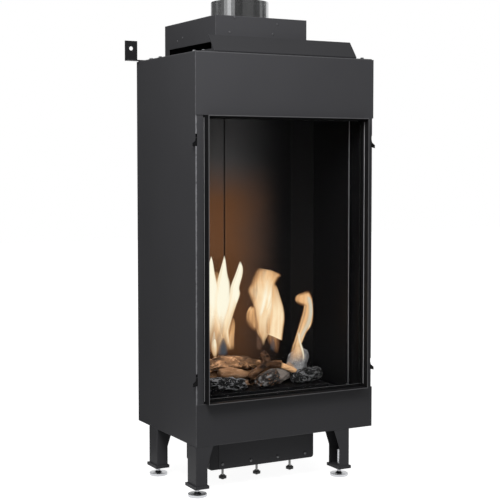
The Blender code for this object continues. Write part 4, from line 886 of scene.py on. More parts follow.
def highlight_lines():
    """Where edges catch the light, drawn as thin beads in a painted highlight: name to body, slot, level of
    the painted highlight and the lines themselves.
    """
    frame_low, frame_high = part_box("window_frame")
    liner_low, liner_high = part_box("liner_right")
    grille_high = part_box("floor_grille")[1]
    radius = bpy.context.scene.gas_fire.paint.bead
    blade_x = frame_high.x - BLADE_INSET
    root_y = frame_high.y - BLADE_ROOT - radius
    low_z, high_z = frame_low.z + BLADE_INSET, frame_high.z - BLADE_INSET
    root_x = blade_x - BLADE_SHEET / 2 - radius
    outer_x = blade_x + BLADE_SHEET / 2 + radius
    flange_x, flange_z = blade_x - FLANGE_REACH, low_z + FLANGE_REACH
    slot_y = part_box("floor_grille")[0].y + SLOT_FAR_EDGE
    liner_x = liner_high.x - HEM_INSET
    return {
        "frame_inner_root": ("window", "casing_steel", 1.6, [
            [(root_x, root_y - SEAM_FORWARD, low_z + FLANGE_REACH),
             (root_x, root_y - SEAM_FORWARD, high_z - FLANGE_REACH)]]),
        "frame_flange_edge": ("window", "casing_steel", 0.3, [
            [(-flange_x, root_y, flange_z), (flange_x, root_y, flange_z)]]),
        "frame_outer_root": ("window", "casing_steel", 1.1, [
            [(-outer_x, root_y, low_z), (-outer_x, root_y, high_z)]]),
        "liner_front_edge": ("casing", "liner_black", 0.85, [
            [(liner_x, liner_low.y, grille_high.z + radius), (liner_x, liner_low.y, liner_high.z)]]),
        "grille_slot_edges": ("casing", "liner_black", 0.4, [
            [(side * SLOT_NEAR_X, slot_y, grille_high.z), (side * SLOT_FAR_X, slot_y, grille_high.z)]
            for side in (-1, 1)]),
    }


class GASFIRE_OT_roll_edges(Operator):
    """Roll thin beads along edges of the window frame, the right liner and the grille's slots, painted pale
    as their highlights
    """

    bl_idname = "gas_fire.roll_edges"
    bl_label = "Roll Edges"

    def execute(self, context):
        paint = context.scene.gas_fire.paint
        tree = bead_tree()
        for name, (body, slot, level, lines) in highlight_lines().items():
            # Each bead is painted pale as a highlight.
            metal = grainy(name, Vector(paint.bright_edge) * level, 0.45, paint.grain, 0.0)
            points = [point for line in lines for point in line]
            edges = plain_mesh(name, points, [(i, i + 1) for i in range(0, len(points), 2)])
            mesh = grown(tree, {"Radius": paint.bead, "Material": metal}, edges)
            smooth(mesh)
            new_piece(name, mesh, body)
        return {"FINISHED"}


# Logs

BLACK = (0.006, 0.006, 0.006)
COAL = (0.020, 0.020, 0.021)
ASH = (0.24, 0.24, 0.25)
SLATE = (0.10, 0.10, 0.105)
CONCRETE = (0.20, 0.20, 0.205)
RUST = (0.24, 0.115, 0.055)
BROWN = (0.140, 0.072, 0.034)
DEEP_BROWN = (0.010, 0.005, 0.003)
TWIG = (0.060, 0.028, 0.013)
TAN = (0.200, 0.110, 0.058)
PALE_WOOD = (0.66, 0.38, 0.19)

# Each log: how its surface is cut, the depth and the cells of that in a metre, how far they are drawn out
# along the log, its paints, and where and how far a bare end reaches over the burner; on the rear log that
# pale patch is a painted highlight.
LOGS = {
    "log_front_charred": dict(
        kind="charred", depth=0.0042, cells=92.0, stretch=0.6, rounds=6, valley=BLACK, body=COAL,
        ridge=(0.19, 0.19, 0.195), speck=(0.07, 0.07, 0.073), ridge_start=0.52, speck_share=0.25, bare=TAN,
        peel_at=(-0.29, 0.10, 0.22), peel_reach=0.013),
    "log_right_charred": dict(
        kind="charred", depth=0.0028, cells=120.0, stretch=0.4, rounds=6, valley=BLACK,
        body=(0.040, 0.040, 0.041), ridge=(0.14, 0.14, 0.142), speck=SLATE, ridge_start=0.50,
        speck_share=0.15, bare=ASH, peel_at=None, peel_reach=0.0),
    "log_split": dict(
        kind="split", depth=0.0040, cells=60.0, stretch=0.35, rounds=3, valley=(0.012, 0.010, 0.009),
        body=(0.060, 0.054, 0.051), ridge=(0.17, 0.165, 0.165), speck=RUST, ridge_start=0.55,
        speck_share=0.60, bare=(0.19, 0.16, 0.14), peel_at=(0.40, 0.22, 0.28), peel_reach=0.036),
    "log_chunk": dict(
        kind="stone", depth=0.0020, cells=55.0, stretch=0.8, rounds=0, valley=SLATE, body=CONCRETE,
        ridge=(0.27, 0.27, 0.275), speck=(0.30, 0.20, 0.14), ridge_start=0.76, speck_share=0.45,
        bare=(0.42, 0.28, 0.18), peel_at=(0.60, 0.50, 0.30), peel_reach=0.022),
    # Its bluish pale patch is a painted highlight on the log's top.
    "log_rear": dict(
        kind="bark", depth=0.0034, cells=62.0, stretch=0.35, rounds=6, valley=DEEP_BROWN, body=BROWN,
        ridge=TAN, speck=BLACK, ridge_start=0.72, speck_share=0.45, bare=(0.42, 0.46, 0.52),
        peel_at=(0.10, 0.62, 0.34), peel_reach=0.02),
    "log_smooth": dict(
        kind="grain", depth=0.0010, cells=60.0, stretch=0.3, rounds=10, valley=BROWN, body=TAN,
        ridge=(0.27, 0.155, 0.088), speck=BROWN, ridge_start=0.72, speck_share=0.45, bare=TAN,
        peel_at=None, peel_reach=0.0),
    "log_bark": dict(
        kind="bark", depth=0.0044, cells=54.0, stretch=0.5, rounds=6, valley=DEEP_BROWN, body=BROWN,
        ridge=(0.30, 0.165, 0.085), speck=(0.008, 0.005, 0.004), ridge_start=0.60, speck_share=0.50,
        bare=TAN, peel_at=(-0.84, 0.60, 0.53), peel_reach=0.012),
    "log_forked_branch": dict(
        kind="grain", depth=0.0016, cells=75.0, stretch=0.3, rounds=8, valley=DEEP_BROWN, body=TWIG,
        ridge=(0.10, 0.050, 0.024), speck=DEEP_BROWN, ridge_start=0.75, speck_share=0.35,
        bare=PALE_WOOD, peel_at=(0.56, 0.20, 0.33), peel_reach=0.050),
}
# The height of the log set, the relief that keeps the CAD's surface, and how softly a bare end begins.
LOG_RISE = 0.100
CARVE_LEVEL = 0.8
PEEL_FADE = 0.006
CLAY_DEPTH = 0.0006
# How often a copy is smoothed in each round, and every how many points show which way a log lies.
SOFTENINGS = 3
AXIS_SAMPLE = 20


def on_burner(x_share, y_share, z_share):
    """A place over the burner, from shares of its half width, its depth and the height of the log set."""
    low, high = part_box("burner_tray")
    return Vector((x_share * high.x, low.y + y_share * (high.y - low.y), high.z + z_share * LOG_RISE))


def stepped(value, low, high):
    """A smooth step from none to one."""
    share = min(max((value - low) / (high - low), 0.0), 1.0)
    return share * share * (3.0 - 2.0 * share)


def relief_of(kind, place):
    """Height of the surface from none to one at a place in cells.

    Blender starts noise_vector from the clock in each session, so char and bark differ a little each time.
    """
    if kind == "charred":
        spans = noise.voronoi(place + noise.noise_vector(place * 0.9) * 0.8)[0]
        rough = stepped(noise.fractal(place * 1.3, 0.9, 2.2, 4), -0.5, 0.6)
        return (1.0 - stepped(spans[1] - spans[0], 0.0, 0.40)) * (0.35 + 0.5 * rough) + 0.15 * rough
    if kind == "split":
        spans = noise.voronoi(place)[0]
        rough = noise.fractal(place * 1.4, 0.8, 2.1, 4)
        return 0.45 * stepped(spans[1] - spans[0], 0.0, 0.5) + 0.55 * stepped(rough, -0.6, 0.7)
    if kind == "stone":
        rough = noise.fractal(place * 1.6, 0.7, 2.1, 5)
        pit = noise.voronoi(place * 1.9)[0][0]
        return 0.7 * stepped(rough, -0.6, 0.6) + 0.3 * stepped(pit, 0.0, 0.35)
    if kind == "bark":
        bent = place + noise.noise_vector(place * 1.1) * 0.7
        plates = noise.ridged_multi_fractal(bent * 0.8, 0.9, 2.1, 5, 1.0, 1.6)
        pit = noise.voronoi(bent * 1.2)[0][0]
        return 0.7 * stepped(plates, 0.3, 2.2) + 0.3 * stepped(pit, 0.0, 0.40)
    lines = noise.fractal(place * 2.0, 0.8, 2.2, 4)
    knots = noise.fractal(Vector((place.x * 3.0, place.y, place.z)) * 0.35, 0.9, 2.0, 2)
    return 0.6 * stepped(lines, -0.6, 0.6) + 0.4 * stepped(knots, -0.5, 0.5)


def dense_copy(node, voxel, rounds):
    """An evenly dense copy of a node's mesh, with its facets smoothed away."""
    mesh = NODES[node].data.copy()
    work = bmesh.new()
    work.from_mesh(mesh)
    bmesh.ops.remove_doubles(work, verts=work.verts, dist=MERGE)
    base = linked(node + "_dense", finished(work, mesh))
    remesh = base.modifiers.new("Dense", "REMESH")
    remesh.mode = "VOXEL"
    remesh.voxel_size = voxel
    soften = base.modifiers.new("Soften", "SMOOTH")
    soften.iterations = rounds * SOFTENINGS
    soften.factor = 0.5
    return evaluated(base)


def carved(node, style, logs):
    """A log's mesh with its bark or char cut in, and its relief and bare ends stored for the material."""
    mesh = dense_copy(node, logs.voxel, style["rounds"])
    count = len(mesh.vertices)
    places = np.empty(count * 3, np.float32)
    normals = np.empty(count * 3, np.float32)
    mesh.vertices.foreach_get("co", places)
    mesh.vertex_normals.foreach_get("vector", normals)
    places = places.reshape(-1, 3).astype(float)
    normals = normals.reshape(-1, 3)
    centre = places.mean(0)
    axes = np.linalg.svd(places[::AXIS_SAMPLE] - centre, full_matrices=False)[2]
    local = (places - centre) @ axes.T * style["cells"]
    local[:, 0] *= style["stretch"]
    relief = np.array([relief_of(style["kind"], Vector(point)) for point in local])
    depth = style["depth"] * logs.relief
    places += normals * ((relief - CARVE_LEVEL) * depth)[:, None]
    peel = np.zeros(count)
    if style["peel_at"]:
        away = np.linalg.norm(places - np.array(on_burner(*style["peel_at"])), axis=1)
        peel = np.clip((style["peel_reach"] - away) / PEEL_FADE, 0.0, 1.0)
    mesh.vertices.foreach_set("co", places.astype(np.float32).ravel())
    store(mesh, "relief", relief)
    store(mesh, "peel", peel)
    mesh.shade_smooth()
    mesh.update()
    return mesh


def fired(tree, style, relief, peel):
    """The painted ceramic of a log or crumb, in its own paints."""
    inputs = {name: opaque(style[name.lower()]) for name in ("Valley", "Body", "Ridge", "Speck", "Bare")}
    inputs.update({"Relief": relief, "Peel": peel, "Ridge Start": style["ridge_start"],
                   "Speck Share": style["speck_share"]})
    return shared(tree, "Fired Clay", inputs)


def clay(node, style):
    """The material of one log."""
    def look(tree):
        return skin(fired(tree, style, attribute(tree, "relief"), attribute(tree, "peel")), CLAY_DEPTH)
    return surface(node + "_clay", look, **{"Specular IOR Level": 0.35})


class GASFIRE_OT_carve_logs(Operator):
    """Carve the eight ceramic logs and paint them"""

    bl_idname = "gas_fire.carve_logs"
    bl_label = "Carve Logs"

    def execute(self, context):
        logs = context.scene.gas_fire.logs
        for node, style in LOGS.items():
            mesh = carved(node, style, logs)
            new_piece(node + "_carved", mesh, "casing", (node,), clay(node, style))
        return {"FINISHED"}


# Embers

# Where the crumbs lie: the near and the far corner of each bed over the burner.
EMBER_BEDS = {
    "front": ((-0.30, 0.26, 0.035), (0.02, 0.50, 0.035)),
    "middle": ((0.16, 0.42, 0.035), (0.60, 0.70, 0.035)),
    "behind": ((0.30, 0.55, 0.05), (0.56, 0.72, 0.20)),
}
CRUMB_PAINTS = dict(valley=DEEP_BROWN, body=BROWN, ridge=TAN, speck=BLACK, bare=TAN, ridge_start=0.62,
                    speck_share=0.3)
CRUMB_DEPTH = 0.0005
LEAST_CRUMB = 0.45


def scatter_tree():
    """A tree that strews turned and sized crumbs over faces."""
    tree, ins = geometry_tree("Crumbs", {
        "Crumb": ("Object", None), "Density": ("Float", 1.0), "Seed": ("Int", 0),
        "Size": ("Float", 1.0), "Material": ("Material", None)})
    spread = add(tree, "GeometryNodeDistributePointsOnFaces", {
        "Mesh": ins["Geometry"], "Density": ins["Density"], "Seed": ins["Seed"]})
    turn = add(tree, "FunctionNodeRandomValue", {0: (0.0,) * 3, 1: (math.tau,) * 3, "Seed": ins["Seed"]},
               data_type="FLOAT_VECTOR").outputs[0]
    size = add(tree, "FunctionNodeRandomValue", {2: LEAST_CRUMB, 3: 1.0, "Seed": ins["Seed"]}).outputs[1]
    placed = copies(tree, spread.outputs[0], ins["Crumb"], turn, maths(tree, "MULTIPLY", size, ins["Size"]))
    close_tree(tree, placed, ins["Material"])
    return tree


def crumb_object():
    """A lumpy chip of clay, one unit wide."""
    work = bmesh.new()
    bmesh.ops.create_icosphere(work, subdivisions=2, radius=0.5)
    for vertex in work.verts:
        vertex.co *= 0.75 + 0.4 * noise.noise(vertex.co * 3.0)
    return linked("crumb", finished(work, bpy.data.meshes.new("crumb")))


class GASFIRE_OT_scatter_embers(Operator):
    """Strew small crumbs of browned clay among the logs"""

    bl_idname = "gas_fire.scatter_embers"
    bl_label = "Scatter Embers"

    def execute(self, context):
        logs = context.scene.gas_fire.logs

        def look(tree):
            relief = noisy(tree, place_of(tree), 160.0, 3.0)
            return skin(fired(tree, CRUMB_PAINTS, relief, 0.0), CRUMB_DEPTH)
        material = surface("ember_clay", look)
        crumb = crumb_object()
        tree = scatter_tree()
        for index, (name, (near, far)) in enumerate(EMBER_BEDS.items()):
            low, high = on_burner(*near), on_burner(*far)
            bed = plain_mesh("bed", [(low.x, low.y, low.z), (high.x, low.y, low.z), (high.x, high.y, high.z),
                                     (low.x, high.y, high.z)], faces=[(0, 1, 2, 3)])
            area = (high.x - low.x) * (high.y - low.y)
            mesh = grown(tree, {
                "Crumb": crumb, "Density": logs.embers / area / len(EMBER_BEDS), "Seed": logs.seed + index,
                "Size": logs.ember_size, "Material": material}, bed)
            new_piece("embers_" + name, mesh, "casing")
        bpy.data.objects.remove(crumb)
        return {"FINISHED"}


# Flames

MM = 0.001
# Each sheet of flame: its plane's y in millimetres, its warmth and its cover at the foot, middle and tip,
# how blue it is, how far out its rim starts to fade, and its left x, left z, right x and right z in
# millimetres from foot to tip.
FLAMES = {
    "left_edge": (45, (0.3, 1.0, 0.95), (0.5, 1.0, 0.95), 0.0, 0.5,
        ((-117, 317, -85, 317), (-123, 360, -82, 356), (-129, 402, -76, 398), (-129, 454, -76, 451),
         (-126, 494, -85, 491), (-120, 530, -96, 529), (-114, 557, -103, 557), (-110, 575, -109, 575))),
    "left_middle": (40, (0.28, 0.98, 0.98), (0.5, 1.0, 0.95), 0.0, 0.5,
        ((-102, 311, -79, 312), (-105, 348, -73, 346), (-108, 388, -64, 385), (-108, 427, -58, 424),
         (-105, 467, -52, 464), (-96, 500, -53, 501), (-87, 526, -61, 525), (-79, 554, -67, 553),
         (-74, 575, -72, 575))),
    "left_inner": (30, (0.3, 0.95, 0.94), (0.5, 1.0, 0.95), 0.0, 0.5,
        ((-84, 317, -60, 320), (-87, 369, -61, 368), (-84, 406, -56, 404), (-72, 442, -44, 440),
         (-63, 473, -30, 471), (-57, 494, -31, 490), (-45, 521, -22, 519), (-37, 542, -21, 539),
         (-32, 559, -28, 558))),
    "left_faint": (55, (0.5, 0.5, 0.4), (0.6, 0.6, 0.2), 0.0, 0.1,
        ((-101, 438, -71, 437), (-96, 491, -72, 490), (-93, 535, -78, 532))),
    "left_veil": (25, (0.32, 0.34, 0.24), (0.4, 0.75, 0.5), 0.0, 0.4,
        ((-74, 324, -48, 325), (-73, 361, -47, 359), (-64, 395, -47, 394), (-57, 411, -52, 411))),
    "left_streak_near": (26, (0.55, 0.78, 0.92), (0.6, 0.75, 0.0), 0.0, 0.0,
        ((-86, 350, -79, 352), (-98, 381, -88, 383), (-108, 409, -96, 411), (-114, 437, -99, 436))),
    "left_streak_far": (22, (0.58, 0.72, 0.9), (0.5, 0.8, 0.0), 0.0, 0.0,
        ((-68, 327, -58, 326), (-76, 357, -64, 356), (-78, 380, -67, 382), (-72, 406, -59, 407),
         (-65, 435, -50, 434))),
    "left_tongue": (20, (0.5, 0.9, 0.9), (0.4, 0.95, 0.7), 0.0, 0.1,
        ((-115, 307, -106, 307), (-121, 329, -101, 327), (-120, 347, -102, 346), (-116, 365, -106, 364),
         (-113, 379, -110, 379))),
    "left_shade": (24, (0.16, 0.3, 0.55), (0.55, 0.65, 0.0), 0.0, 0.0,
        ((-134, 321, -87, 318), (-134, 358, -81, 354), (-128, 394, -75, 390), (-125, 425, -81, 422))),
    "left_blue": (18, (0.15, 0.12, 0.1), (0.6, 0.9, 0.3), 1.0, 0.15,
        ((-104, 309, -71, 315), (-101, 330, -73, 331), (-95, 347, -76, 345), (-89, 361, -82, 360))),
    "centre_smoke": (14, (0.16, 0.16, 0.2), (0.2, 0.45, 0.3), 0.35, 0.0,
        ((8, 320, 29, 318), (10, 343, 31, 342), (11, 375, 34, 373))),
    "centre_main": (10, (0.44, 0.66, 0.46), (0.4, 1.0, 0.95), 0.0, 0.6,
        ((27, 332, 34, 331), (24, 348, 38, 347), (10, 369, 49, 365), (3, 392, 56, 388), (-2, 419, 62, 415),
         (-5, 440, 65, 439), (-12, 462, 69, 463), (-19, 483, 69, 484), (-9, 501, 71, 497),
         (-1, 519, 80, 511), (3, 531, 87, 519), (15, 541, 61, 532))),
    "centre_right": (0, (0.66, 0.6, 0.4), (1.0, 0.9, 0.6), 0.0, 0.6,
        ((34, 366, 84, 343), (36, 392, 87, 374), (38, 420, 89, 402), (42, 450, 84, 434),
         (46, 480, 74, 466), (50, 500, 65, 494))),
    "centre_right_glow": (-6, (0.72, 0.76, 0.6), (0.6, 0.6, 0.0), 0.0, 0.0,
        ((50, 362, 76, 349), (51, 391, 75, 384), (52, 420, 73, 413), (55, 454, 69, 448))),
    "centre_fold": (-7, (0.36, 0.4, 0.5), (0.4, 0.7, 0.0), 0.0, 0.0,
        ((28, 363, 43, 362), (27, 382, 42, 381), (28, 403, 40, 402), (30, 424, 39, 424))),
    "centre_shadow": (0, (0.3, 0.24, 0.3), (0.2, 0.6, 0.2), 0.0, 0.0,
        ((-11, 450, 1, 452), (-17, 476, 8, 478), (-13, 500, 9, 501), (-7, 522, 8, 523))),
    "centre_glow_near": (0, (1.1, 1.0, 0.80), (0.7, 1.0, 0.0), 0.0, 0.0,
        ((5, 412, 18, 412), (5, 435, 28, 437), (7, 462, 38, 460), (10, 491, 51, 489), (9, 517, 57, 512))),
    "centre_glow_far": (-2, (0.82, 0.82, 0.62), (0.8, 0.8, 0.0), 0.0, 0.0,
        ((20, 422, 30, 422), (23, 445, 43, 447), (27, 471, 52, 471), (31, 498, 60, 496),
         (32, 516, 63, 512))),
    "centre_rim": (1, (0.5, 0.42, 0.30), (0.0, 0.3, 0.6), 0.0, 0.2,
        ((-2, 504, 73, 495), (-2, 523, 79, 510), (2, 545, 81, 524))),
    "centre_lobe": (18, (0.22, 0.36, 0.52), (0.5, 0.95, 0.9), 0.0, 0.3,
        ((12, 365, 27, 379), (-8, 380, 18, 403), (-20, 396, 12, 425), (-21, 413, 9, 439),
         (-15, 426, 0, 443))),
    "centre_veil": (6, (0.10, 0.16, 0.26), (0.1, 0.5, 0.9), 0.0, 0.2,
        ((65, 308, 72, 308), (51, 328, 77, 323), (37, 350, 81, 336), (33, 380, 85, 360))),
    "centre_blue": (-4, (0.12, 0.12, 0.1), (0.2, 0.6, 0.2), 1.0, 0.0,
        ((42, 317, 59, 315), (43, 335, 60, 334), (46, 348, 57, 348), (49, 359, 55, 358))),
    "right": (-20, (0.40, 0.52, 0.24), (0.35, 1.0, 0.85), 0.0, 0.5,
        ((83, 284, 132, 285), (90, 301, 138, 302), (97, 319, 135, 317), (104, 333, 130, 331),
         (109, 343, 135, 340), (117, 366, 146, 361), (123, 391, 162, 382), (129, 412, 166, 405),
         (134, 430, 164, 436), (135, 433, 161, 460), (130, 435, 152, 478), (123, 438, 136, 475),
         (115, 443, 125, 472), (109, 452, 114, 466))),
    "right_core": (-30, (0.98, 0.92, 0.92), (0.5, 0.95, 0.85), 0.42, 0.3,
        ((116, 341, 123, 341), (119, 360, 133, 359), (127, 381, 146, 377), (136, 407, 156, 403),
         (139, 433, 157, 432), (136, 455, 154, 454), (139, 463, 147, 462))),
    "right_thread": (-34, (0.8, 0.92, 0.9), (0.3, 0.9, 0.5), 0.12, 0.15,
        ((122, 288, 127, 288), (124, 307, 130, 306), (119, 326, 127, 325), (113, 347, 121, 347),
         (111, 369, 119, 368))),
}


def curve_through(values, steps):
    """Rows of values sampled evenly along a Catmull-Rom curve through them."""
    values = np.array(values, float)
    padded = np.vstack([2 * values[0] - values[1], values, 2 * values[-1] - values[-2]])
    rows = []
    for place in np.linspace(0.0, len(values) - 1.0, steps):
        index = min(int(place), len(values) - 2)
        t = place - index
        a, b, c, d = padded[index:index + 4]
        rows.append(0.5 * (2 * b + (c - a) * t + (2 * a - 5 * b + 4 * c - d) * t ** 2
                           + (3 * b - a - 3 * c + d) * t ** 3))
    return np.array(rows)


# How flat a sheet is beside its width, and how many radians its waves turn in each metre of height.
FLAME_FLATNESS = 0.6
WAVES = 40.0
WARMTH_STOPS = (0.0, 0.45, 1.0)
RIM_COOLING = 0.55
# A foot that covers this much stays sharp. Others fade in, and every tip fades out, over these shares.
SHARP_FOOT = 0.9
FOOT_FADE = 0.14
TIP_FADE = 0.08
TIP_END = 1.01
# How the noise is drawn out in the streaks and in the wider folds of a flame.
STREAKS = (70.0, 30.0, 9.0)
FOLDS = (34.0, 20.0, 12.0)


def flame_mesh(name, plane, warmths, covers, blue, soft, ribs, flames):
    """A closed sheet of flame, lens-shaped across, with its warmth, cover and blue on each point."""
    count, sides = flames.rows, flames.sides
    rows = curve_through(np.array(ribs) * MM, count)
    left, right = rows[:, :2], rows[:, 2:]
    centre, half = (left + right) / 2, (right - left) / 2
    depth = np.minimum(flames.depth, np.linalg.norm(half, axis=1) * FLAME_FLATNESS)
    wave = plane * MM + flames.sway * np.sin(centre[:, 1] * WAVES)
    angles = np.arange(sides) * math.tau / sides
    across, out = np.cos(angles), np.sin(angles)
    x = centre[:, :1] + half[:, :1] * across
    z = centre[:, 1:] + half[:, 1:] * across
    y = wave[:, None] + depth[:, None] * out
    points = [tuple(point) for point in np.stack([x, y, z], -1).reshape(-1, 3)]
    around = [(side, (side + 1) % sides) for side in range(sides)]
    faces = [(row + side, row + after, row + sides + after, row + sides + side)
             for row in range(0, (count - 1) * sides, sides) for side, after in around]
    foot, last = len(points), (count - 1) * sides
    points += [(centre[end, 0], wave[end], centre[end, 1]) for end in (0, -1)]
    for side, after in around:
        faces += [(side, foot, after), (last + side, last + after, foot + 1)]
    mesh = plain_mesh(name, points, faces=faces)
    work = bmesh.new()
    work.from_mesh(mesh)
    bmesh.ops.recalc_face_normals(work, faces=work.faces)
    finished(work, mesh)

    column = np.linspace(0.0, 1.0, count)[:, None]
    reach = np.clip((np.abs(across) - soft) / (1.0 - soft), 0.0, 1.0)
    fade = 1.0 - reach * reach * (3.0 - 2.0 * reach)
    foot_fade = 1.0 if covers[0] >= SHARP_FOOT else np.clip(column / FOOT_FADE, 0.0, 1.0)
    ends_fade = foot_fade * np.clip((TIP_END - column) / TIP_FADE, 0.0, 1.0)
    stored = {
        "warmth": np.interp(column, WARMTH_STOPS, warmths) - RIM_COOLING * reach,
        "cover": np.interp(column, WARMTH_STOPS, covers) * fade * ends_fade,
        "blue": blue,
    }
    for label, values in stored.items():
        whole = np.broadcast_to(values, (count, sides))
        store(mesh, label, np.concatenate([whole.ravel(), [whole[0].mean(), whole[-1].mean()]]))
    mesh.shade_smooth()
    return mesh


def flame_material(flames):
    """Burning gas: it gives light and lets the wall behind show where it is thin."""
    def look(tree):
        place = place_of(tree)
        streaks = noisy(tree, vectors(tree, "MULTIPLY", place, STREAKS), 1.0, 2.0, 0.5, 0.4)
        folds = noisy(tree, vectors(tree, "MULTIPLY", place, FOLDS), 1.0, 1.0, 0.5, 0.8)
        level = maths(tree, "ADD", attribute(tree, "warmth"), between(tree, streaks, -0.16, 0.16))
        level = maths(tree, "ADD", level, between(tree, folds, -0.20, 0.20))
        ramp = add(tree, "ShaderNodeValToRGB", {0: level})
        stops = ((0.12, flames.ember), (0.36, flames.tan), (0.66, flames.pale), (0.90, flames.hot))
        elements = ramp.color_ramp.elements
        for position, colour in stops[2:]:
            elements.new(position)
        for element, (position, colour) in zip(elements, stops):
            element.position = position
            element.color = opaque(colour)
        colour = mixed(tree, attribute(tree, "blue"), ramp.outputs[0], opaque(flames.blue))
        alpha = maths(tree, "MULTIPLY", attribute(tree, "cover"), between(tree, streaks, 0.85, 1.1))
        return {"Emission Color": colour, "Alpha": maths(tree, "MINIMUM", alpha, 1.0)}
    return surface("flame", look, **{"Base Color": (0.0, 0.0, 0.0, 1.0), "Roughness": 1.0,
                                     "Specular IOR Level": 0.0, "Emission Strength": flames.strength})


class GASFIRE_OT_light_flames(Operator):
    """Light the three groups of flames"""

    bl_idname = "gas_fire.light_flames"
    bl_label = "Light Flames"

    def execute(self, context):
        flames = context.scene.gas_fire.flames
        material = flame_material(flames)
        for name, sheet in FLAMES.items():
            mesh = flame_mesh("flame_" + name, *sheet, flames)
            piece = new_piece("flame_" + name, mesh, "casing", material=material)
            piece.visible_shadow = False
        return {"FINISHED"}


# Fixings and threads

def fixing_tree():
    """A tree that sets a head on each point, facing as the point says, with its slot turned at random."""
    tree, ins = geometry_tree("Fixings", {
        "Head": ("Object", None), "Size": ("Float", 1.0), "Spin": ("Float", 0.0), "Seed": ("Int", 0),
        "Material": ("Material", None)})
    facing = add(tree, "GeometryNodeInputNamedAttribute", {0: "facing"}, data_type="FLOAT_VECTOR").outputs[0]
    upright = add(tree, "FunctionNodeAlignRotationToVector", {"Vector": facing}, axis="Z").outputs[0]
    angle = add(tree, "FunctionNodeRandomValue", {2: 0.0, 3: ins["Spin"], "Seed": ins["Seed"]}).outputs[1]
    spin = add(tree, "FunctionNodeAxisAngleToRotation", {"Axis": (0.0, 0.0, 1.0), "Angle": angle}).outputs[0]
    turn = add(tree, "FunctionNodeRotateRotation", {0: upright, 1: spin}, rotation_space="LOCAL").outputs[0]
    placed = copies(tree, ins["Geometry"], ins["Head"], turn, ins["Size"])
    close_tree(tree, placed, ins["Material"])
    return tree


def thread_tree():
    """A tree that winds a thread's crest round a stem."""
    tree, ins = geometry_tree("Thread", {
        "Radius": ("Float", 0.005), "Crest": ("Float", 0.0003), "Turns": ("Float", 10.0),
        "Length": ("Float", 0.05), "Foot": ("Vector", (0.0, 0.0, 0.0)), "Material": ("Material", None)})
    helix = add(tree, "GeometryNodeCurveSpiral", {
        "Resolution": 20, "Rotations": ins["Turns"], "Start Radius": ins["Radius"],
        "End Radius": ins["Radius"], "Height": ins["Length"]}).outputs[0]
    crest = tube(tree, helix, 4, ins["Crest"])
    moved = add(tree, "GeometryNodeTransform", {"Geometry": crest, "Translation": ins["Foot"]}).outputs[0]
    close_tree(tree, moved, ins["Material"])
    return tree


def points_mesh(places, facing):
    """Loose points that all face one way."""
    mesh = plain_mesh("points", [tuple(place) for place in places])
    data = mesh.attributes.new("facing", "FLOAT_VECTOR", "POINT").data
    data.foreach_set("vector", list(facing) * len(places))
    return mesh


# Each head's outline as radius and height, in units of its size.
RIVET_PROFILE = ((0.45, -0.4), (1.0, 0.0), (0.98, 0.12), (0.80, 0.34), (0.5, 0.47), (0.22, 0.50))
SCREW_PROFILE = ((0.5, -0.5), (1.0, 0.0), (0.98, 0.22), (0.84, 0.42), (0.62, 0.50), (0.60, 0.50),
                 (0.42, 0.18))
FLUSH_PROFILE = ((0.5, -0.5), (0.9, -0.06), (0.88, -0.01), (0.60, -0.005), (0.42, -0.30))
BOLT_PROFILE = ((0.5, -0.4), (1.35, 0.0), (1.35, 0.16), (0.95, 0.17), (0.95, 0.66), (0.80, 0.78))
CROSS_SHARE = 0.30
# How light the heads are beside the rubbed paint or the plating, and their skins as in ALLOY_SKIN.
RIVET_TONE = 0.8
SCREW_TONE = 0.2
RIVET_SKIN = (0.4, 0.0008, 0.3)
SCREW_SKIN = (0.4, 0.0008, 1.0)
# Places read from the photograph: the hood's rivets as x and z or as y and z, the top plate's bolts as x
# and y, and the cover's screws.
HOOD_FRONT_RIVETS = ((-0.137, 1.142), (-0.123, 1.179), (-0.001, 1.168), (-0.014, 1.143))
HOOD_SIDE_RIVETS = ((0.0735, 1.143), (0.1045, 1.137))
TOP_BOLTS = ((-0.245, 0.1175), (-0.245, 0.0605), (-0.242, -0.1325), (-0.229, -0.1565))
COVER_SCREWS_X = (-0.161, -0.080, -0.001, 0.081)
COVER_SCREWS_Z = 0.065
BACK_EDGE = 0.012
# The foot's threaded stem: its radius, and its ends over the underside of the foot.
STEM_RADIUS = 0.005
STEM_LOW = 0.0135
STEM_HIGH = 0.068


def fixing_rows():
    """Places of the screws, rivets and bolts: name to kind, facing and places."""
    hood_low, hood_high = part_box("hood")
    cover_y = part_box("control_box_cover")[0].y
    back_low, back_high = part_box("back_panel")
    top_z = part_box("top_plate")[1].z
    ends_x = (back_low.x + BACK_EDGE, back_high.x - BACK_EDGE)
    ends_z = (back_low.z + BACK_EDGE, back_high.z - BACK_EDGE)
    back_places = [(x, z) for x in np.linspace(*ends_x, 5) for z in ends_z]
    back_places += [(x, z) for x in ends_x for z in np.linspace(*ends_z, 8)[1:-1]]
    return {
        "hood_rivets_front": ("rivet", (0, -1, 0), [(x, hood_low.y, z) for x, z in HOOD_FRONT_RIVETS]),
        "hood_rivets_left": ("rivet", (-1, 0, 0), [(hood_low.x, y, z) for y, z in HOOD_SIDE_RIVETS]),
        "hood_rivets_right": ("rivet", (1, 0, 0), [(hood_high.x, y, z) for y, z in HOOD_SIDE_RIVETS]),
        "top_bolts": ("bolt", (0, 0, 1), [(side * x, y, top_z) for x, y in TOP_BOLTS for side in (1, -1)]),
        "cover_screws": ("screw", (0, -1, 0), [(x, cover_y, COVER_SCREWS_Z) for x in COVER_SCREWS_X]),
        "back_screws": ("flush", (0, 1, 0), [(x, back_high.y, z) for x, z in back_places]),
    }


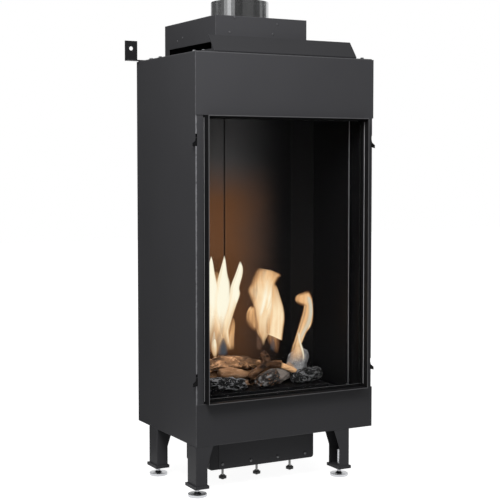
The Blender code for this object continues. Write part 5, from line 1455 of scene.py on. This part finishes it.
class GASFIRE_OT_fit_fixings(Operator):
    """Fit the rivets, screws and bolts, all on the casing"""

    bl_idname = "gas_fire.fit_fixings"
    bl_label = "Fit Fixings"

    def execute(self, context):
        fire = context.scene.gas_fire
        sizes = fire.fixings
        screw = grainy("screw", Vector(fire.metal.plated) * SCREW_TONE, *SCREW_SKIN)
        kinds = {
            "rivet": (sizes.rivet, turned("rivet_head", RIVET_PROFILE, 20),
                      grainy("rivet", Vector(fire.paint.rubbed) * RIVET_TONE, *RIVET_SKIN)),
            "screw": (sizes.screw, turned("screw_head", SCREW_PROFILE, 32, CROSS_SHARE), screw),
            "flush": (sizes.screw, turned("flush_head", FLUSH_PROFILE, 32, CROSS_SHARE), screw),
            "bolt": (sizes.bolt, turned("bolt_head", BOLT_PROFILE, 6),
                     bright("bolt", fire.metal.plated, PLAIN_ROUGHNESS, PLAIN_STRETCH)),
        }
        tree = fixing_tree()
        for index, (name, (kind, facing, places)) in enumerate(fixing_rows().items()):
            size, head, finish = kinds[kind]
            mesh = grown(tree, {"Head": head, "Size": size, "Spin": math.tau, "Seed": index,
                                "Material": finish}, points_mesh(places, facing))
            new_piece(name, mesh, "casing")
        for kind in kinds.values():
            bpy.data.objects.remove(kind[1])
        return {"FINISHED"}


class GASFIRE_OT_cut_threads(Operator):
    """Cut the threads of the four screw feet"""

    bl_idname = "gas_fire.cut_threads"
    bl_label = "Cut Threads"

    def execute(self, context):
        fire = context.scene.gas_fire
        metal = bright("thread", fire.metal.plated, 0.25, PLAIN_STRETCH)
        tree = thread_tree()
        length = STEM_HIGH - STEM_LOW
        for corner in ("front_left", "front_right", "rear_left", "rear_right"):
            name = "foot_" + corner
            low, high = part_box(name)
            centre = (low + high) / 2
            mesh = grown(tree, {
                "Radius": STEM_RADIUS, "Crest": fire.fixings.crest, "Turns": length / fire.fixings.pitch,
                "Length": length, "Foot": Vector((centre.x, centre.y, low.z + STEM_LOW)), "Material": metal})
            smooth(mesh)
            new_piece(name + "_thread", mesh, name)
        return {"FINISHED"}


# Stage

FLOOR_HALF = 9.0
# The distances between which the floor brightens to plain white, and its levels there.
FLOOR_LIFT = (0.35, 1.0, 0.93, 1.0)
CARD_RADIUS = 3.2
CARD_LOW = -0.2
CARD_HIGH = 3.4
CARD_STEPS = 8
CARD_LIFT = 0.002
# Degrees to the right of the camera, seen from the flue, the level that a mirror shows there, and where the
# card's foot on the floor starts.
CARDS = {
    "far_left": (-150, -100, 0.10, 0.36), "left": (-98, -64, 0.11, 0.0), "left_edge": (-64, -50, 0.42, 0.0),
    "front_edge": (-34, -22, 0.40, 0.0), "front": (-22, 13, 0.05, 0.0), "near_right": (13, 55, 0.12, 0.0),
    "right": (55, 88, 0.07, 0.0), "right_edge": (88, 104, 0.30, 0.0), "far_right": (104, 128, 0.06, 0.0),
}
# The middle of the fire's own light, how far it stands before the rear wall, and its colour.
GLOW_X = -0.07
GLOW_Z = 0.56
GLOW_GAP = 0.16
GLOW_COLOUR = (1.0, 0.93, 0.86)
GLOW_SIZE = (0.10, 0.50)
# The other lamps: their place, what they look at, and their width and height.
KEY_LAMP = ((-0.86, -0.98, 1.86), (-0.1, -0.1, 0.80), (0.9, 0.7))
RIGHT_LAMP = ((1.0, -1.4, 1.6), (0.2, -0.17, 0.75), (0.8, 0.8))


def seen(tree):
    """One for rays from the camera, a mirror or glass, and none for the rays that light things."""
    rays = add(tree, "ShaderNodeLightPath").outputs
    return maths(tree, "MAXIMUM", rays["Is Camera Ray"],
                 maths(tree, "MAXIMUM", rays["Is Glossy Ray"], rays["Is Transmission Ray"]))


def world_light(stage):
    """A white studio: bright where it is seen or mirrored, softer as light."""
    world = bpy.data.worlds.new("studio")
    tree = blank_tree(world)
    back = add(tree, "ShaderNodeBackground", {"Color": WHITE,
                                              "Strength": between(tree, seen(tree), stage.fill, 1.0)})
    add(tree, "ShaderNodeOutputWorld", {"Surface": back.outputs[0]})
    bpy.context.scene.world = world


def floor_material(stage):
    """A pale floor that reads white away from the fire and keeps its shadow."""
    material = bpy.data.materials.new("floor_pale")
    tree = blank_tree(material)
    away = add(tree, "ShaderNodeVectorMath", {0: place_of(tree)}, operation="LENGTH").outputs["Value"]
    matt = add(tree, "ShaderNodeBsdfDiffuse", {"Color": opaque(stage.floor)})
    level = maths(tree, "MULTIPLY", seen(tree), eased(tree, away, *FLOOR_LIFT))
    glow = add(tree, "ShaderNodeEmission", {"Color": WHITE, "Strength": level})
    both = add(tree, "ShaderNodeAddShader", {0: matt.outputs[0], 1: glow.outputs[0]})
    add(tree, "ShaderNodeOutputMaterial", {"Surface": both.outputs[0]})
    return material


def lamp(name, place, target, size, power, colour=WHITE[:3]):
    """An area lamp that looks at a place and shows neither itself nor its mirror image."""
    data = bpy.data.lights.new(name, "AREA")
    data.shape = "RECTANGLE"
    data.size, data.size_y = size
    data.energy = power
    data.color = colour
    light = linked(name, data)
    light.location = place
    light.rotation_euler = (Vector(target) - Vector(place)).to_track_quat("-Z", "Y").to_euler()
    for ray in ("camera", "glossy", "transmission"):
        setattr(light, "visible_" + ray, False)


def card(name, start, end, level, foot, centre, towards):
    """A studio card that only mirrors show: an upright arc from start to end degrees off the camera.

    A card with a foot also covers the floor from there out to the arc.
    """
    turns = [towards + math.radians(start + (end - start) * step / CARD_STEPS)
             for step in range(CARD_STEPS + 1)]
    rows = [(CARD_RADIUS, CARD_LOW), (CARD_RADIUS, CARD_HIGH)]
    if foot:
        rows += [(foot, CARD_LIFT), (CARD_RADIUS, CARD_LIFT)]
    points = [(centre.x + reach * math.cos(turn), centre.y + reach * math.sin(turn), height)
              for reach, height in rows for turn in turns]
    count = len(turns)
    faces = [(first + i, first + i + 1, first + count + i + 1, first + count + i)
             for first in range(0, len(points), 2 * count) for i in range(CARD_STEPS)]
    material = bpy.data.materials.new(name)
    tree = blank_tree(material)
    shine = add(tree, "ShaderNodeEmission", {"Color": (level, level, level, 1.0), "Strength": 1.0})
    add(tree, "ShaderNodeOutputMaterial", {"Surface": shine.outputs[0]})
    strip = linked(name, plain_mesh(name, points, faces=faces))
    strip.data.materials.append(material)
    for ray in ("camera", "diffuse", "transmission", "shadow", "volume_scatter"):
        setattr(strip, "visible_" + ray, False)


class GASFIRE_OT_set_stage(Operator):
    """Set up the floor, lamps, background and camera"""

    bl_idname = "gas_fire.set_stage"
    bl_label = "Set Stage"

    def execute(self, context):
        stage = context.scene.gas_fire.stage
        world_light(stage)
        corners = [(x * FLOOR_HALF, y * FLOOR_HALF, 0.0) for x, y in ((-1, -1), (1, -1), (1, 1), (-1, 1))]
        floor = linked("floor", plain_mesh("floor", corners, faces=[(0, 1, 2, 3)]))
        floor.data.materials.append(floor_material(stage))
        wall_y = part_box("liner_back_left")[0].y
        lamp("key", *KEY_LAMP, stage.key)
        lamp("fire_glow", (GLOW_X, wall_y - GLOW_GAP, GLOW_Z), (GLOW_X, wall_y, GLOW_Z), GLOW_SIZE,
             stage.glow, GLOW_COLOUR)
        lamp("fill_right", *RIGHT_LAMP, stage.fill_right)
        camera = linked("camera", bpy.data.cameras.new("camera"))
        camera.location = stage.camera
        camera.rotation_euler = Euler((math.radians(90.0) - stage.pitch, 0.0, -stage.yaw))
        camera.data.lens = stage.lens
        camera.data.shift_y = stage.shift
        context.scene.camera = camera
        low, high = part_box("flue_collar_outer")
        towards = math.atan2(-math.cos(stage.yaw), -math.sin(stage.yaw))
        for name, (start, end, level, foot) in CARDS.items():
            card("card_" + name, start, end, level, foot, (low + high) / 2, towards)
        context.scene.view_settings.view_transform = "Standard"
        return {"FINISHED"}


# Panel and start

OPERATORS = (
    GASFIRE_OT_paint_casing, GASFIRE_OT_line_firebox, GASFIRE_OT_finish_metals, GASFIRE_OT_glaze_window,
    GASFIRE_OT_braid_seal, GASFIRE_OT_roll_edges, GASFIRE_OT_carve_logs, GASFIRE_OT_scatter_embers,
    GASFIRE_OT_light_flames, GASFIRE_OT_fit_fixings, GASFIRE_OT_cut_threads, GASFIRE_OT_set_stage,
)
GROUP_CLASSES = (
    PaintSettings, MetalSettings, SealSettings, LogSettings, FlameSettings, FixingSettings, StageSettings,
    FireSettings,
)


class GASFIRE_PT_looks(Panel):
    """Lists each step that dresses the gas fire"""

    bl_idname = "GASFIRE_PT_looks"
    bl_label = "Gas Fire"
    bl_space_type = "VIEW_3D"
    bl_region_type = "UI"
    bl_category = "Gas Fire"

    def draw(self, context):
        for operator in OPERATORS:
            self.layout.operator(operator.bl_idname)
        fire = context.scene.gas_fire
        for name in FireSettings.__annotations__:
            box = self.layout.box()
            box.label(text=name.capitalize())
            group = getattr(fire, name)
            for setting in type(group).__annotations__:
                box.prop(group, setting)


def register():
    """Registers the settings, operators and panel."""
    for item in (*GROUP_CLASSES, *OPERATORS, GASFIRE_PT_looks):
        bpy.utils.register_class(item)
    bpy.types.Scene.gas_fire = PointerProperty(type=FireSettings)


def unregister():
    """Removes the settings, operators and panel."""
    del bpy.types.Scene.gas_fire
    for item in reversed((*GROUP_CLASSES, *OPERATORS, GASFIRE_PT_looks)):
        bpy.utils.unregister_class(item)


def main():
    """Dresses the gas fire."""
    register()
    bpy.ops.gas_fire.paint_casing()
    bpy.ops.gas_fire.line_firebox()
    bpy.ops.gas_fire.finish_metals()
    bpy.ops.gas_fire.glaze_window()
    bpy.ops.gas_fire.braid_seal()
    bpy.ops.gas_fire.roll_edges()
    bpy.ops.gas_fire.carve_logs()
    bpy.ops.gas_fire.scatter_embers()
    bpy.ops.gas_fire.light_flames()
    bpy.ops.gas_fire.fit_fixings()
    bpy.ops.gas_fire.cut_threads()
    bpy.ops.gas_fire.set_stage()
    bpy.context.view_layer.update()


if __name__ == "__main__":
    main()
